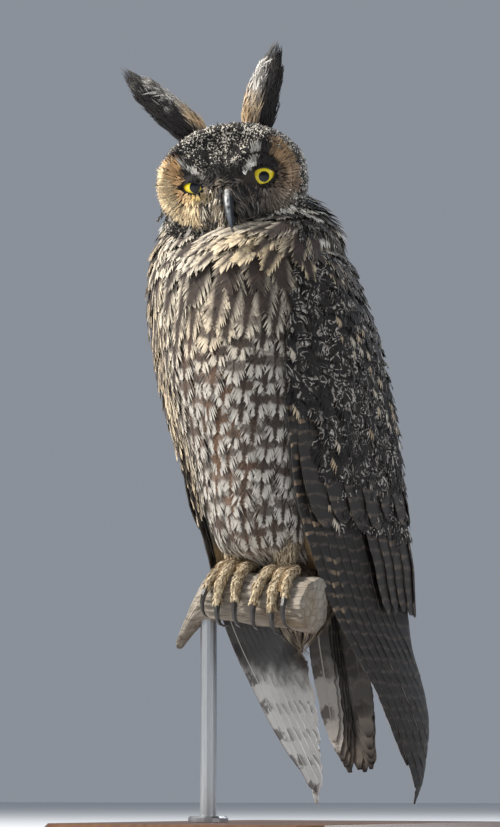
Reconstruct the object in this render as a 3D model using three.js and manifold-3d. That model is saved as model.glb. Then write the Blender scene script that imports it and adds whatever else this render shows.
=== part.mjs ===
// Long-eared owl, life size, perched upright on a short length of branch over a plain display stand.
// Millimetres, +Z up. The bird faces -Y, its left side is +X, and its head is turned to its left.
// The origin is the middle of the underside of the base.
import * as THREE from "three";
import { mergeVertices } from "three/addons/utils/BufferGeometryUtils.js";
import Module from "manifold-3d";

const wasm = await Module();
wasm.setup();

// Driving dimensions
// Sizes of the bird are in its own frame, whose zero is LIFT above the floor and SET_BACK behind the
// base's middle.
const GAP = 0.3;
const SET_BACK = -33;
const LIFT = 7;
const BASE = { width: 176, depth: 216, height: 12, chamfer: 3, corner: 16 };
const ROD = { radius: 4.5, at: -34, flange: 11, flangeHeight: 3 };
const PERCH = { radius: 13.5, from: -53, to: 33.5, y: 12, z: 124, fall: 9, hookFrom: -27, hookDrop: 30 };
const HEAD = { x: 5, y: -24.7, z: 346.5, width: 39.6, top: 29.5, bottom: 31, turn: 24.5, nod: 14, lean: 7 };
const EYE = { side: 18.2, depth: 13.5, height: -0.6, radius: 9, lid: 1.3 };

// Body outline by height: half the width, and where the breast and the back stand.
const BODY = [
  { z: 104, half: 5, front: 50, back: 56 },
  { z: 110, half: 12, front: 44, back: 61 },
  { z: 122, half: 17, front: 37, back: 68 },
  { z: 132, half: 21, front: 34, back: 73 },
  { z: 142, half: 26, front: 16, back: 76 },
  { z: 150, half: 29, front: -4, back: 78 },
  { z: 170, half: 34, front: -18, back: 81 },
  { z: 190, half: 37, front: -26, back: 80 },
  { z: 210, half: 41, front: -34, back: 76 },
  { z: 230, half: 44, front: -42, back: 70 },
  { z: 250, half: 46.5, front: -47, back: 62 },
  { z: 270, half: 48.5, front: -51, back: 54 },
  { z: 290, half: 50, front: -54, back: 49 },
  { z: 303, half: 51, front: -52, back: 46 },
  { z: 313, half: 52, front: -45, back: 42 },
  { z: 322, half: 49, front: -36, back: 37 },
  { z: 332, half: 41, front: -28, back: 29 },
  { z: 344, half: 26, front: -20, back: 14 },
];
const BODY_FULLNESS = 2.35;
const NECK_AT = 303;

// Folded wing by height: its front edge, two places on its side, its rear corner and its edge over the back.
const WING = [
  { z: 13, fx: 32, fy: 121, ax: 32, ay: 121.8, bx: 32, by: 122.6, cx: 32, cy: 123.4, ix: 31.8, iy: 124.2 },
  { z: 25, fx: 34, fy: 111, ax: 34.5, ay: 117, bx: 34.5, by: 124, cx: 33.8, cy: 131, ix: 33, iy: 134 },
  { z: 40, fx: 36, fy: 100, ax: 37, ay: 109, bx: 37, by: 123, cx: 35, cy: 134, ix: 33, iy: 137 },
  { z: 60, fx: 38.5, fy: 84, ax: 40, ay: 98, bx: 40, by: 118, cx: 37, cy: 134, ix: 34, iy: 137 },
  { z: 80, fx: 40, fy: 67, ax: 42, ay: 84, bx: 42, by: 108, cx: 38.5, cy: 126, ix: 34, iy: 130 },
  { z: 100, fx: 39, fy: 46, ax: 42, ay: 66, bx: 43, by: 92, cx: 40, cy: 112, ix: 30, iy: 117 },
  { z: 120, fx: 37, fy: 28, ax: 41.5, ay: 51, bx: 43, by: 82, cx: 40, cy: 107, ix: 9, iy: 104 },
  { z: 150, fx: 34.5, fy: 10, ax: 41.5, ay: 37, bx: 45, by: 72, cx: 41.5, cy: 101, ix: 1.2, iy: 97 },
  { z: 180, fx: 34.5, fy: -7, ax: 43.5, ay: 24, bx: 47.5, by: 62, cx: 43.5, cy: 91, ix: 1.2, iy: 92 },
  { z: 205, fx: 37, fy: -18, ax: 47.5, ay: 12, bx: 50, by: 52, cx: 45, cy: 84, ix: 1.2, iy: 86 },
  { z: 230, fx: 39.5, fy: -26, ax: 52, ay: 2, bx: 53, by: 40, cx: 47, cy: 73, ix: 3, iy: 76 },
  { z: 260, fx: 44, fy: -30, ax: 56, ay: -4, bx: 57, by: 28, cx: 47.5, cy: 58, ix: 10, iy: 65 },
  { z: 290, fx: 46, fy: -31, ax: 56.5, ay: -8, bx: 55, by: 18, cx: 43.5, cy: 44, ix: 18, iy: 52 },
  { z: 302, fx: 45, fy: -27, ax: 53.5, ay: -7, bx: 52, by: 15, cx: 41.5, cy: 39, ix: 22, iy: 47 },
  { z: 313, fx: 38, fy: -19, ax: 44.5, ay: -5, bx: 44, by: 11, cx: 36, cy: 31, ix: 25, iy: 38 },
];

const TAIL = {
  top: 152, bottom: 33, rootX: 3, rootY: 80, tipX: 11, tipY: 102, pairs: 6, half: 6.6, layer: 1.15,
};

const DEG = Math.PI / 180;
const point = (x, y, z) => new THREE.Vector3(x, y, z);
const mix = (a, b, t) => a + (b - a) * t;
const bell = (distance, width) => Math.exp(-((distance / width) ** 2));

// Joining and cutting
// A closed geometry as a solid, facing outwards.
function solidOf(geometry) {
  const bare = geometry.clone();
  bare.deleteAttribute("normal");
  bare.deleteAttribute("uv");
  const merged = mergeVertices(bare, 1e-4);
  const triVerts = new Uint32Array(merged.index.array);
  const vertProperties = new Float32Array(merged.attributes.position.array);
  const make = () => new wasm.Manifold(new wasm.Mesh({ numProp: 3, vertProperties, triVerts }));
  const made = make();
  if (made.volume() > 0) return made;
  triVerts.reverse();
  return make();
}

// The largest closed surface of a solid, so that no loose scrap stays.
function largest(solid) {
  return solid.decompose().reduce((best, piece) => (piece.volume() > best.volume() ? piece : best));
}

function join(solids) {
  return solids.reduce((whole, piece) => whole.add(piece));
}

function cut(solid, tools) {
  return tools.reduce((rest, tool) => rest.subtract(tool), solid);
}

// The surface of a solid as a geometry with its shared vertices and their normals.
function surfaceOf(solid) {
  const { vertProperties, triVerts } = solid.getMesh();
  const geometry = new THREE.BufferGeometry();
  geometry.setAttribute("position", new THREE.BufferAttribute(vertProperties, 3));
  geometry.setIndex(new THREE.BufferAttribute(triVerts, 1));
  geometry.computeVertexNormals();
  return geometry;
}

// The same form stood out by a gap all over, to cut its place into a neighbour.
function swollen(solid, by = GAP) {
  const geometry = surfaceOf(solid);
  const place = geometry.attributes.position;
  const normal = geometry.attributes.normal;
  for (let i = 0; i < place.array.length; i += 1) {
    place.array[i] += by * normal.array[i];
  }
  return solidOf(geometry);
}

// The same form on the bird's other side.
function mirrored(solid) {
  return solidOf(surfaceOf(solid).scale(-1, 1, 1));
}

// A box between two corners, for parting a solid along a plane.
function boxBetween(low, high) {
  const size = high.clone().sub(low);
  const box = new THREE.BoxGeometry(size.x, size.y, size.z);
  box.translate(low.x + size.x / 2, low.y + size.y / 2, low.z + size.z / 2);
  return solidOf(box);
}

// Surfaces
// A geometry from points and triangles.
function geometryOf(points, faces) {
  const geometry = new THREE.BufferGeometry().setFromPoints(points);
  geometry.setIndex(faces);
  return geometry;
}

// A closed skin over rings of points: each ring joins the next, and both ends close on their middle.
function loft(rings) {
  const count = rings[0].length;
  const points = rings.flat();
  const faces = [];
  for (let r = 0; r < rings.length - 1; r += 1) {
    for (let k = 0; k < count; k += 1) {
      const a = r * count + k;
      const b = r * count + ((k + 1) % count);
      faces.push(a, b, b + count, a, b + count, a + count);
    }
  }
  [0, rings.length - 1].forEach((r) => {
    const middle = points.length;
    points.push(rings[r].reduce((sum, p) => sum.add(p), point(0, 0, 0)).divideScalar(count));
    for (let k = 0; k < count; k += 1) {
      const a = r * count + k;
      const b = r * count + ((k + 1) % count);
      faces.push(...(r === 0 ? [b, a, middle] : [a, b, middle]));
    }
  });
  return solidOf(geometryOf(points, faces));
}

// A tapering round or oval rod along a path. Each stop has a place, a reach to the side and one across it.
function rodAlong(stops, side, sides) {
  const rings = stops.map((stop, i) => {
    const before = stops[Math.max(i - 1, 0)].at;
    const after = stops[Math.min(i + 1, stops.length - 1)].at;
    const along = after.clone().sub(before).normalize();
    const flank = side.clone().addScaledVector(along, -side.dot(along)).normalize();
    const across = along.clone().cross(flank);
    return Array.from({ length: sides }, (_, k) => {
      const turn = (2 * Math.PI * k) / sides;
      return stop.at
        .clone()
        .addScaledVector(flank, stop.wide * Math.cos(turn))
        .addScaledVector(across, stop.deep * Math.sin(turn));
    });
  });
  return loft(rings);
}

// The value of a station table at a height: a smooth curve through the stations, level past both ends.
function track(stations, key, z) {
  const last = stations.length - 1;
  if (z <= stations[0].z) return stations[0][key];
  if (z >= stations[last].z) return stations[last][key];
  let i = 0;
  while (stations[i + 1].z < z) i += 1;
  const [a, b, c, d] = [Math.max(i - 1, 0), i, i + 1, Math.min(i + 2, last)].map((n) => stations[n]);
  const span = c.z - b.z;
  const leave = ((c[key] - a[key]) / (c.z - a.z)) * span;
  const reach = ((d[key] - b[key]) / (d.z - b.z)) * span;
  const t = (z - b.z) / span;
  const start = (2 * t ** 3 - 3 * t ** 2 + 1) * b[key] + (t ** 3 - 2 * t ** 2 + t) * leave;
  return start + (3 * t ** 2 - 2 * t ** 3) * c[key] + (t ** 3 - t ** 2) * reach;
}

// Feathers
// A vane's shape from root to tip: how far along it a stop lies, and its share of the full width there.
const VANE_SHAPE = [
  [0, 0.55],
  [0.3, 0.92],
  [0.6, 1],
  [0.84, 0.84],
  [0.94, 0.56],
  [1, 0.14],
];
function vaneShare(t) {
  let i = 0;
  while (i < VANE_SHAPE.length - 2 && VANE_SHAPE[i + 1][0] < t) i += 1;
  const [[from, low], [to, high]] = [VANE_SHAPE[i], VANE_SHAPE[i + 1]];
  return mix(low, high, (t - from) / (to - from));
}
const VANE_THICK = 0.7;
const EDGES = [-1, 1];
const EDGES_AND_MIDDLE = [-1, 0, 1];

// The same varied numbers between -1 and 1 each time, from a seed.
function variedFrom(seed) {
  let state = seed;
  return () => {
    state = (state * 16807) % 2147483647;
    return (2 * state) / 2147483647 - 1;
  };
}

// A thin vane over rows of places, each with a direction outwards. Both faces are parted alike.
function vane(rows, thick = VANE_THICK) {
  const columns = rows[0].length;
  const id = (r, c, face) => (r * columns + c) * 2 + face;
  const points = rows.flatMap((row, r) =>
    row.flatMap(({ at, out }) => {
      const half = (thick / 2) * (r === rows.length - 1 ? 0.7 : 1);
      return [at.clone().addScaledVector(out, half), at.clone().addScaledVector(out, -half)];
    }),
  );
  const faces = [];
  const quad = (a, b, c, d) => faces.push(a, b, c, a, c, d);
  for (let r = 0; r < rows.length - 1; r += 1) {
    for (let c = 0; c < columns - 1; c += 1) {
      quad(id(r, c, 0), id(r, c + 1, 0), id(r + 1, c + 1, 0), id(r + 1, c, 0));
      faces.push(id(r, c, 1), id(r + 1, c + 1, 1), id(r, c + 1, 1));
      faces.push(id(r, c, 1), id(r + 1, c, 1), id(r + 1, c + 1, 1));
    }
    const far = columns - 1;
    quad(id(r, 0, 0), id(r + 1, 0, 0), id(r + 1, 0, 1), id(r, 0, 1));
    quad(id(r + 1, far, 0), id(r, far, 0), id(r, far, 1), id(r + 1, far, 1));
  }
  const end = rows.length - 1;
  for (let c = 0; c < columns - 1; c += 1) {
    quad(id(0, c + 1, 0), id(0, c, 0), id(0, c, 1), id(0, c + 1, 1));
    quad(id(end, c, 0), id(end, c + 1, 0), id(end, c + 1, 1), id(end, c, 1));
  }
  return solidOf(geometryOf(points, faces));
}

// Body
const BODY_RINGS = 15;
const BODY_SIDES = 28;

// A ring of the body at a height: a full oval, as deep in front and behind as BODY says.
function bodyRing(z) {
  const half = track(BODY, "half", z);
  const front = track(BODY, "front", z);
  const back = track(BODY, "back", z);
  const middle = (front + back) / 2;
  const power = 2 / BODY_FULLNESS;
  return Array.from({ length: BODY_SIDES }, (_, k) => {
    const turn = (2 * Math.PI * k) / BODY_SIDES;
    const c = Math.cos(turn);
    const s = Math.sin(turn);
    const x = half * Math.sign(c) * Math.abs(c) ** power;
    const y = middle + ((back - front) / 2) * Math.sign(s) * Math.abs(s) ** power;
    return point(x, y, z);
  });
}

function bodySolid() {
  const low = BODY[0].z;
  const high = BODY[BODY.length - 1].z;
  return loft(Array.from({ length: BODY_RINGS }, (_, r) => bodyRing(mix(low, high, r / (BODY_RINGS - 1)))));
}

// Head
// The head's own frame: x to the bird's left, y to the back of the head, z up; its zero is between the eyes.
const headFrame = new THREE.Matrix4()
  .makeTranslation(HEAD.x, HEAD.y, HEAD.z)
  .multiply(new THREE.Matrix4().makeRotationZ(HEAD.turn * DEG))
  .multiply(new THREE.Matrix4().makeRotationX(HEAD.nod * DEG))
  .multiply(new THREE.Matrix4().makeRotationY(-HEAD.lean * DEG));
const inHead = (x, y, z) => point(x, y, z).applyMatrix4(headFrame);
const headSide = point(1, 0, 0).transformDirection(headFrame);

// How far the face stands forward: a flat dome with two dished discs, a ruff round them,
// brows that rise from between the eyes, and a ridge down to the bill.
function faceForward(x, z) {
  const out = Math.hypot(x / HEAD.width, z / HEAD.top);
  const side = Math.abs(x);
  const browAlong = Math.min(Math.max((side - 4) / 22, 0), 1);
  const browAway = Math.hypot(side - mix(4, 26, browAlong), z - mix(7, 21, browAlong));
  const dome = 27 - 7 * out * out;
  const ridge = 6.5 * bell(x, 6) * bell(z + 9, 15);
  const brow = 3.4 * bell(browAway, 4.5);
  const dish = 3.8 * bell(Math.hypot((side - 21) / 10, (z - 1) / 11), 1);
  const ruff = 2.6 * bell(out - 0.9, 0.09);
  return dome + ridge + brow + ruff - dish;
}

const HEAD_SIDES = 32;
const FACE_REACH = [0.05, 0.15, 0.26, 0.37, 0.48, 0.6, 0.72, 0.82, 0.91];
// Behind the face: how far out the head reaches and how deep that lies.
const SKULL = [
  [0.99, -16],
  [1.03, -8],
  [1.02, 2],
  [0.97, 11],
  [0.88, 19],
  [0.74, 26],
  [0.55, 31],
  [0.32, 34],
  [0.1, 35],
];

function headSolid() {
  const outline = (turn, reach) => {
    const c = Math.cos(turn);
    const s = Math.sin(turn);
    const power = 2 / 2.25;
    const narrowing = 1 - 0.1 * Math.max(s, 0) ** 1.5;
    const x = HEAD.width * narrowing * reach * Math.sign(c) * Math.abs(c) ** power;
    const tall = s > 0 ? HEAD.top : HEAD.bottom;
    return [x, tall * reach * Math.sign(s) * Math.abs(s) ** power];
  };
  const turns = Array.from({ length: HEAD_SIDES }, (_, k) => (2 * Math.PI * k) / HEAD_SIDES);
  const face = FACE_REACH.map((reach) =>
    turns.map((turn) => {
      const [x, z] = outline(turn, reach);
      return inHead(x, -faceForward(x, z), z);
    }),
  );
  const skull = SKULL.map(([reach, depth]) =>
    turns.map((turn) => {
      const [x, z] = outline(turn, reach);
      return inHead(x, depth, z);
    }),
  );
  return loft([...face, ...skull]);
}

// A ball in the head's frame.
function headBall(x, y, z, radius, across, down) {
  const ball = new THREE.SphereGeometry(radius, across, down);
  ball.rotateX(Math.PI / 2);
  ball.applyMatrix4(new THREE.Matrix4().makeTranslation(x, y, z));
  ball.applyMatrix4(headFrame);
  return solidOf(ball);
}

// The opening between the lids: an almond seen from the front, cut from the eye's middle outwards.
function lidOpening(side, width, height, tilt) {
  const half = width / 2;
  const almond = new THREE.Shape();
  almond.moveTo(-half, 0);
  almond.quadraticCurveTo(0, height * 1.15, half, 0);
  almond.quadraticCurveTo(0, -height * 0.85, -half, 0);
  const prism = new THREE.ExtrudeGeometry(almond, { depth: 14, bevelEnabled: false, curveSegments: 6 });
  prism.rotateX(Math.PI / 2);
  prism.rotateY(tilt * side * DEG);
  prism.translate(side * EYE.side, -EYE.depth, EYE.height);
  prism.applyMatrix4(headFrame);
  return solidOf(prism);
}

// Bill: a hooked upper half with a nostril on each side, over a short lower half.
const UPPER_BILL = [
  { y: -24, z: -7, wide: 4.2, deep: 3.2 },
  { y: -30.5, z: -8.5, wide: 4.4, deep: 4 },
  { y: -34.8, z: -12.5, wide: 4, deep: 4.2 },
  { y: -36.4, z: -17, wide: 3.3, deep: 3.7 },
  { y: -36, z: -21.5, wide: 2.5, deep: 2.9 },
  { y: -34.8, z: -25, wide: 1.4, deep: 1.8 },
  { y: -33.4, z: -27.6, wide: 0.4, deep: 0.45 },
];
const LOWER_BILL = [
  { y: -21, z: -16, wide: 3.4, deep: 2 },
  { y: -26.5, z: -19, wide: 3.4, deep: 2 },
  { y: -30, z: -21.5, wide: 2.5, deep: 1.6 },
  { y: -31.5, z: -24.2, wide: 1, deep: 0.8 },
];
const NOSTRIL = { side: 4.6, y: -34, z: -12, radius: 1.4 };

function billSolid(stops) {
  const placed = stops.map((s) => ({ at: inHead(0, s.y, s.z), wide: s.wide, deep: s.deep }));
  return rodAlong(placed, headSide, 10);
}

// The line of the mouth: a shallow groove that runs back on each side from the bill's root.
const MOUTH = [
  { x: 3.5, z: -17 },
  { x: 7.5, z: -16 },
  { x: 11.5, z: -13 },
];
function mouthGroove(side) {
  const stops = MOUTH.map(({ x, z }, i) => ({
    at: inHead(side * x, -faceForward(x, z), z),
    wide: 1.1 - 0.3 * i,
    deep: 1.1 - 0.3 * i,
  }));
  return rodAlong(stops, point(0, 0, 1), 6);
}

// Ear tufts: the line of each from the crown out to its tip and half its width, in the head's frame.
const EAR_LEFT = [
  { x: 14.4, y: -3, z: 18.4, wide: 6.5 },
  { x: 19.2, y: -5, z: 31.2, wide: 8.2 },
  { x: 24.9, y: -6, z: 44.9, wide: 7.6 },
  { x: 29.4, y: -4, z: 54.6, wide: 5 },
  { x: 34, y: -1, z: 64.2, wide: 0.5 },
];
const EAR_RIGHT = [
  { x: -12.9, y: -3, z: 18.6, wide: 6 },
  { x: -19.2, y: -5, z: 30.9, wide: 7 },
  { x: -30.6, y: -7, z: 44, wide: 6.6 },
  { x: -39.8, y: -7, z: 55, wide: 4.2 },
  { x: -47.2, y: -6, z: 64.3, wide: 0.5 },
];
// From the tuft's outer edge to its inner one: how far along it each feather reaches.
const EAR_REACH = [0.58, 0.74, 0.9, 1, 0.93, 0.8, 0.64];
const EAR_LAYER = 1.05;
const EAR_FEATHER = 3.7;

// One tuft: feathers side by side and one behind the other, held together by a short root on the crown.
function earTuft(line) {
  const path = new THREE.CatmullRomCurve3(line.map(({ x, y, z }) => point(x, y, z)));
  const forward = point(0, -1, 0);
  const acrossAt = (t) => path.getTangent(t).cross(forward).normalize();
  const wideAt = (t) => {
    const i = Math.min(Math.floor(t * (line.length - 1)), line.length - 2);
    return mix(line[i].wide, line[i + 1].wide, t * (line.length - 1) - i);
  };
  const middle = (EAR_REACH.length - 1) / 2;
  const placed = (p) => p.applyMatrix4(headFrame);
  const out = forward.clone().transformDirection(headFrame);
  const feathers = EAR_REACH.map((reach, i) => {
    const rows = [0, 0.3, 0.6, 0.86, 1].map((t) => {
      const along = t * reach;
      const across = acrossAt(along);
      const at = path.getPoint(along);
      at.addScaledVector(across, ((i - middle) / middle) * (wideAt(along) - 0.6 * EAR_FEATHER * (1 - t)));
      at.addScaledVector(forward, (i - middle) * EAR_LAYER * mix(0.75, 1, Math.min(t / 0.3, 1)));
      const half = EAR_FEATHER * vaneShare(t);
      return EDGES.map((c) => ({ at: placed(at.clone().addScaledVector(across, c * half)), out }));
    });
    return vane(rows, 0.75);
  });
  const root = [-0.04, 0.06, 0.16, 0.24].map((t, i) => {
    const at = path.getPoint(Math.max(t, 0)).addScaledVector(path.getTangent(0), Math.min(t, 0) * 50);
    return { at: placed(at), wide: [6, 6.4, 5.6, 3][i], deep: [4.4, 4.4, 4, 2.6][i] };
  });
  return join([rodAlong(root, headSide, 8), ...feathers]);
}

// Wings
const WING_KEYS = ["f", "a", "b", "c", "i"];

// The folded wing's outer surface at a height: a line from its front edge over the side and the rear corner.
function wingLine(z) {
  const marks = WING_KEYS.map((k) => point(track(WING, k + "x", z), track(WING, k + "y", z), z));
  return new THREE.CatmullRomCurve3(marks, false, "centripetal");
}

const outwards = (along) => point(along.y, -along.x, 0).normalize();

const WING_LEVELS = 10;
const WING_ACROSS = 9;
const CORE = { top: 310, bottom: 138, under: 3.1, openFrom: 250, openTo: 226 };

// The wing's core, which holds the roots. At the shoulder it is the wing's outer surface; further down it lies
// under the feathers, and everywhere it reaches into the body.
function wingCore() {
  const rings = Array.from({ length: WING_LEVELS }, (_, r) => {
    const z = mix(CORE.top, CORE.bottom, r / (WING_LEVELS - 1));
    const line = wingLine(z);
    const middle = point(0, (track(BODY, "front", z) + track(BODY, "back", z)) / 2, z);
    const open = Math.min(Math.max((CORE.openFrom - z) / (CORE.openFrom - CORE.openTo), 0), 1);
    const outer = Array.from({ length: WING_ACROSS + 1 }, (_unused, k) => {
      const t = k / WING_ACROSS;
      const p = line.getPoint(t).addScaledVector(outwards(line.getTangent(t)), -CORE.under * open);
      p.x = Math.max(p.x, 1.2);
      return p;
    });
    const sink = mix(0.22, 0.42, Math.min((z - CORE.bottom) / 30, 1));
    const inner = outer.map((p) => {
      const deep = p.clone().lerp(middle, sink);
      deep.x = Math.max(deep.x, 0.7);
      return deep;
    });
    return [...outer, ...inner.reverse()];
  });
  return loft(rings);
}

// The place on the wing's outer surface nearest to a point, straight on past both its edges.
function ontoWing(p) {
  const line = wingLine(p.z);
  const marks = line.getPoints(40);
  let best = { away: Infinity };
  for (let k = 0; k < 40; k += 1) {
    const span = marks[k + 1].clone().sub(marks[k]);
    const share = Math.min(Math.max(p.clone().sub(marks[k]).dot(span) / span.lengthSq(), 0), 1);
    const away = marks[k].clone().addScaledVector(span, share).distanceTo(p);
    if (away < best.away) best = { away, t: (k + share) / 40 };
  }
  const along = line.getTangent(best.t);
  const at = line.getPoint(best.t);
  at.addScaledVector(along, p.clone().sub(at).dot(along));
  return { at, out: outwards(along) };
}

// One vane on the wing, from the height of its root to that of its tip, with stops at set levels between. At a
// height, place is how far behind the front edge its middle runs and rise is how proud it lies; its own front
// edge is lifted by the tilt. A vane round the rear corner has a middle line as well as its two edges.
function wingVane({ root, tip, levels, place, half, rise, tilt, columns }) {
  const onAxis = (z) => {
    const line = wingLine(z);
    return line.getPointAt(Math.min(Math.max(place(z) / line.getLength(), 0), 1));
  };
  const blunt = (root - tip) * 0.06;
  const heights = [root, ...levels.filter((z) => z < root - 7 && z > tip + blunt + 7), tip + blunt, tip];
  const rows = heights.map((z) => {
    const at = onAxis(z);
    const down = onAxis(Math.max(z - 3, tip)).sub(onAxis(Math.min(z + 3, root))).normalize();
    const { out } = ontoWing(at);
    const level = point(-out.y, out.x, 0);
    const across = level.addScaledVector(down, -level.dot(down)).normalize();
    return columns.map((c) => {
      const reach = c * half * vaneShare((root - z) / (root - tip));
      const placed = ontoWing(at.clone().addScaledVector(across, reach));
      placed.at.addScaledVector(placed.out, rise(placed.at.z) - tilt * reach);
      return placed;
    });
  });
  return vane(rows);
}

// How proud a row of feathers lies at a height: sunk at its roots, level from the end of its climb.
function risingFrom(rootZ, climb, low, high) {
  return (z) => mix(low, high, Math.min(Math.max((rootZ - z) / climb, 0), 1));
}

// The long feathers of the wing tip, from the outermost at the front edge: heights of their tips and roots.
const PRIMARIES = [
  { tip: 36, root: 228 },
  { tip: 14.5, root: 228 },
  { tip: 20, root: 228 },
  { tip: 30, root: 206 },
  { tip: 40, root: 204 },
  { tip: 49, root: 202 },
  { tip: 59, root: 170 },
  { tip: 72, root: 169 },
  { tip: 86, root: 168 },
];
const PRIMARY_LEVELS = [200, 168, 136, 110, 90, 72, 55, 39, 27];
// The rows over them: height of the tips, length, number, first and last as shares of the width, half a
// feather's width, how proud the tips lie, how much lower the rearmost tip hangs, and stops along the length.
const COVER_ROWS = [
  {
    tip: 116, long: 112, count: 7, from: 0.42, to: 0.93, half: 10.5, high: 1.7, hang: -14,
    levels: [0.25, 0.5, 0.75],
  },
  { tip: 172, long: 66, count: 6, from: 0.19, to: 0.91, half: 14, high: 1.7, hang: -6, levels: [0.35, 0.75] },
  { tip: 208, long: 62, count: 6, from: 0.08, to: 0.91, half: 14, high: 1.6, hang: -4, levels: [0.35, 0.75] },
];

function wingFeathers() {
  const varied = variedFrom(71);
  const widthAt = (z) => wingLine(z).getLength();
  const primaries = PRIMARIES.map(({ tip, root }, i) => {
    const emerging = risingFrom(root, 24, -4.8, -1.6);
    const freeing = risingFrom(100, 50, 0, 1.3);
    return wingVane({
      root,
      tip,
      levels: PRIMARY_LEVELS,
      place: (z) => Math.min(6.2 + 7.2 * i, Math.max(0.6 * widthAt(z), widthAt(z) - 6.5)),
      half: 7.4,
      rise: (z) => emerging(z) + freeing(z),
      tilt: 0.2,
      columns: i < 6 ? EDGES : EDGES_AND_MIDDLE,
    });
  });
  const covers = COVER_ROWS.flatMap((row) => {
    const root = row.tip + row.long;
    return Array.from({ length: row.count }, (_, i) => {
      const share = mix(row.from, row.to, i / (row.count - 1));
      return wingVane({
        root,
        tip: row.tip - row.hang * (share - 0.5) + 2.5 * varied(),
        levels: row.levels.map((t) => root - t * row.long),
        place: (z) => Math.min(share * widthAt(z), widthAt(z) - row.half - 0.6),
        half: row.half * (1 + 0.04 * varied()),
        rise: risingFrom(root, 0.75 * row.long, -4.8, row.high),
        tilt: 0.1,
        columns: share < 0.5 ? EDGES : EDGES_AND_MIDDLE,
      });
    });
  });
  return [...primaries, ...covers];
}

// Tail
const tailTop = point(TAIL.rootX, TAIL.rootY, TAIL.top);
const tailLine = point(TAIL.tipX, TAIL.tipY, TAIL.bottom).sub(tailTop);
const tailDown = tailLine.clone().normalize();
const tailSide = point(1, 0, 0).addScaledVector(tailDown, -tailDown.x).normalize();
const tailBack = tailSide.clone().cross(tailDown);

// A place in the tail: t from its top to its tip, then to the left and towards the back.
function inTail(t, left, back) {
  const at = tailTop.clone().addScaledVector(tailLine, t);
  return at.addScaledVector(tailSide, left).addScaledVector(tailBack, back);
}

// The middle pair lies hindmost. Each pair outwards lies one layer further forward and ends a little higher.
function tailFeathers() {
  const varied = variedFrom(23);
  return Array.from({ length: TAIL.pairs }, (_, i) => i).flatMap((i) =>
    [1, -1].map((side) => {
      const layer = i === 0 ? (1 - side) / 2 : i + 1;
      const left = side * (i === 0 ? 1.4 : TAIL.half + 0.4 + 1.05 * (i - 1));
      const reach = 1 - 0.006 * i ** 2 + 0.008 * varied();
      const rows = VANE_SHAPE.map(([t, share]) => {
        const opened = mix(0.45, 1, Math.min(t / 0.45, 1));
        const back = -layer * TAIL.layer * mix(0.8, 1, Math.min(t / 0.3, 1));
        return EDGES.map((c) => ({
          at: inTail(t * reach, left * opened + c * TAIL.half * share, back),
          out: tailBack,
        }));
      });
      return vane(rows);
    }),
  );
}

// A flat rod down the tail, from one place along it to another.
function tailRod(from, to, wide, deep, sides) {
  const stops = [0, 0.35, 0.7, 1].map((share) => {
    const full = share === 1 ? 0.5 : 1;
    return { at: inTail(mix(from, to, share), 0, -3.4 * TAIL.layer), wide: wide * full, deep: deep * full };
  });
  return rodAlong(stops, tailSide, sides);
}

// Perch
// A place round the perch: s along it, out from its middle, and an angle that is 0 in front and 90 on top.
const perchAlong = point(Math.cos(PERCH.fall * DEG), 0, -Math.sin(PERCH.fall * DEG));
const perchUp = point(Math.sin(PERCH.fall * DEG), 0, Math.cos(PERCH.fall * DEG));
function onPerch(s, out, angle) {
  return point(0, PERCH.y, PERCH.z)
    .addScaledVector(perchAlong, s)
    .addScaledVector(point(0, -1, 0), out * Math.cos(angle * DEG))
    .addScaledVector(perchUp, out * Math.sin(angle * DEG));
}

function perchSolid() {
  const sides = 14;
  const steps = 11;
  const rings = Array.from({ length: steps + 1 }, (_, r) => {
    const t = r / steps;
    const s = mix(PERCH.from, PERCH.to, t);
    const hooked = Math.max(0, (PERCH.hookFrom - s) / (PERCH.hookFrom - PERCH.from));
    const droop = PERCH.hookDrop * hooked ** 1.5;
    return Array.from({ length: sides }, (_unused, k) => {
      const angle = (360 * k) / sides;
      const bark = 0.7 * Math.sin(3 * angle * DEG + s / 19) + 0.5 * Math.sin(7 * angle * DEG - s / 7);
      const swell = 1.2 * bell(s + 30, 14) + 0.8 * bell(s - 30, 10);
      const p = onPerch(s, (PERCH.radius + bark + swell) * mix(1, 0.3, hooked), angle);
      p.z -= droop;
      return p;
    });
  });
  return loft(rings);
}

// Feet
// The places of one foot's toes: how far along the perch from the leg, where each starts and ends round it.
const FOOT_SIDE = 14;
const TOES = [
  { name: "inner", offset: -5.5, spread: -2.5, from: 88, to: -14, thick: 3.7 },
  { name: "middle", offset: 1.8, spread: 1.5, from: 88, to: -22, thick: 3.9 },
  { name: "outer", offset: 5.5, spread: 5.5, from: 84, to: 4, thick: 3.5 },
  { name: "hind", offset: -2, spread: -2, from: 92, to: 176, thick: 3.5 },
];
const TOE_END = 0.78;
const CLAW = { length: 17, radius: 1.9, rootedIn: 0.9 };

function toePath(side, toe, t, out) {
  const s = side * (FOOT_SIDE + toe.offset + toe.spread * t);
  return onPerch(s, out, mix(toe.from, toe.to, t));
}

function toeSolid(side, toe) {
  const steps = 5;
  const stops = Array.from({ length: steps + 1 }, (_, r) => {
    const t = r / steps;
    const pads = 1 + 0.08 * Math.cos(t * 6 * Math.PI);
    const radius = toe.thick * mix(1.1, TOE_END, t) * pads;
    return { at: toePath(side, toe, t, PERCH.radius + 3.4), wide: radius, deep: radius * 0.95 };
  });
  return rodAlong(stops, perchAlong, 6);
}

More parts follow.
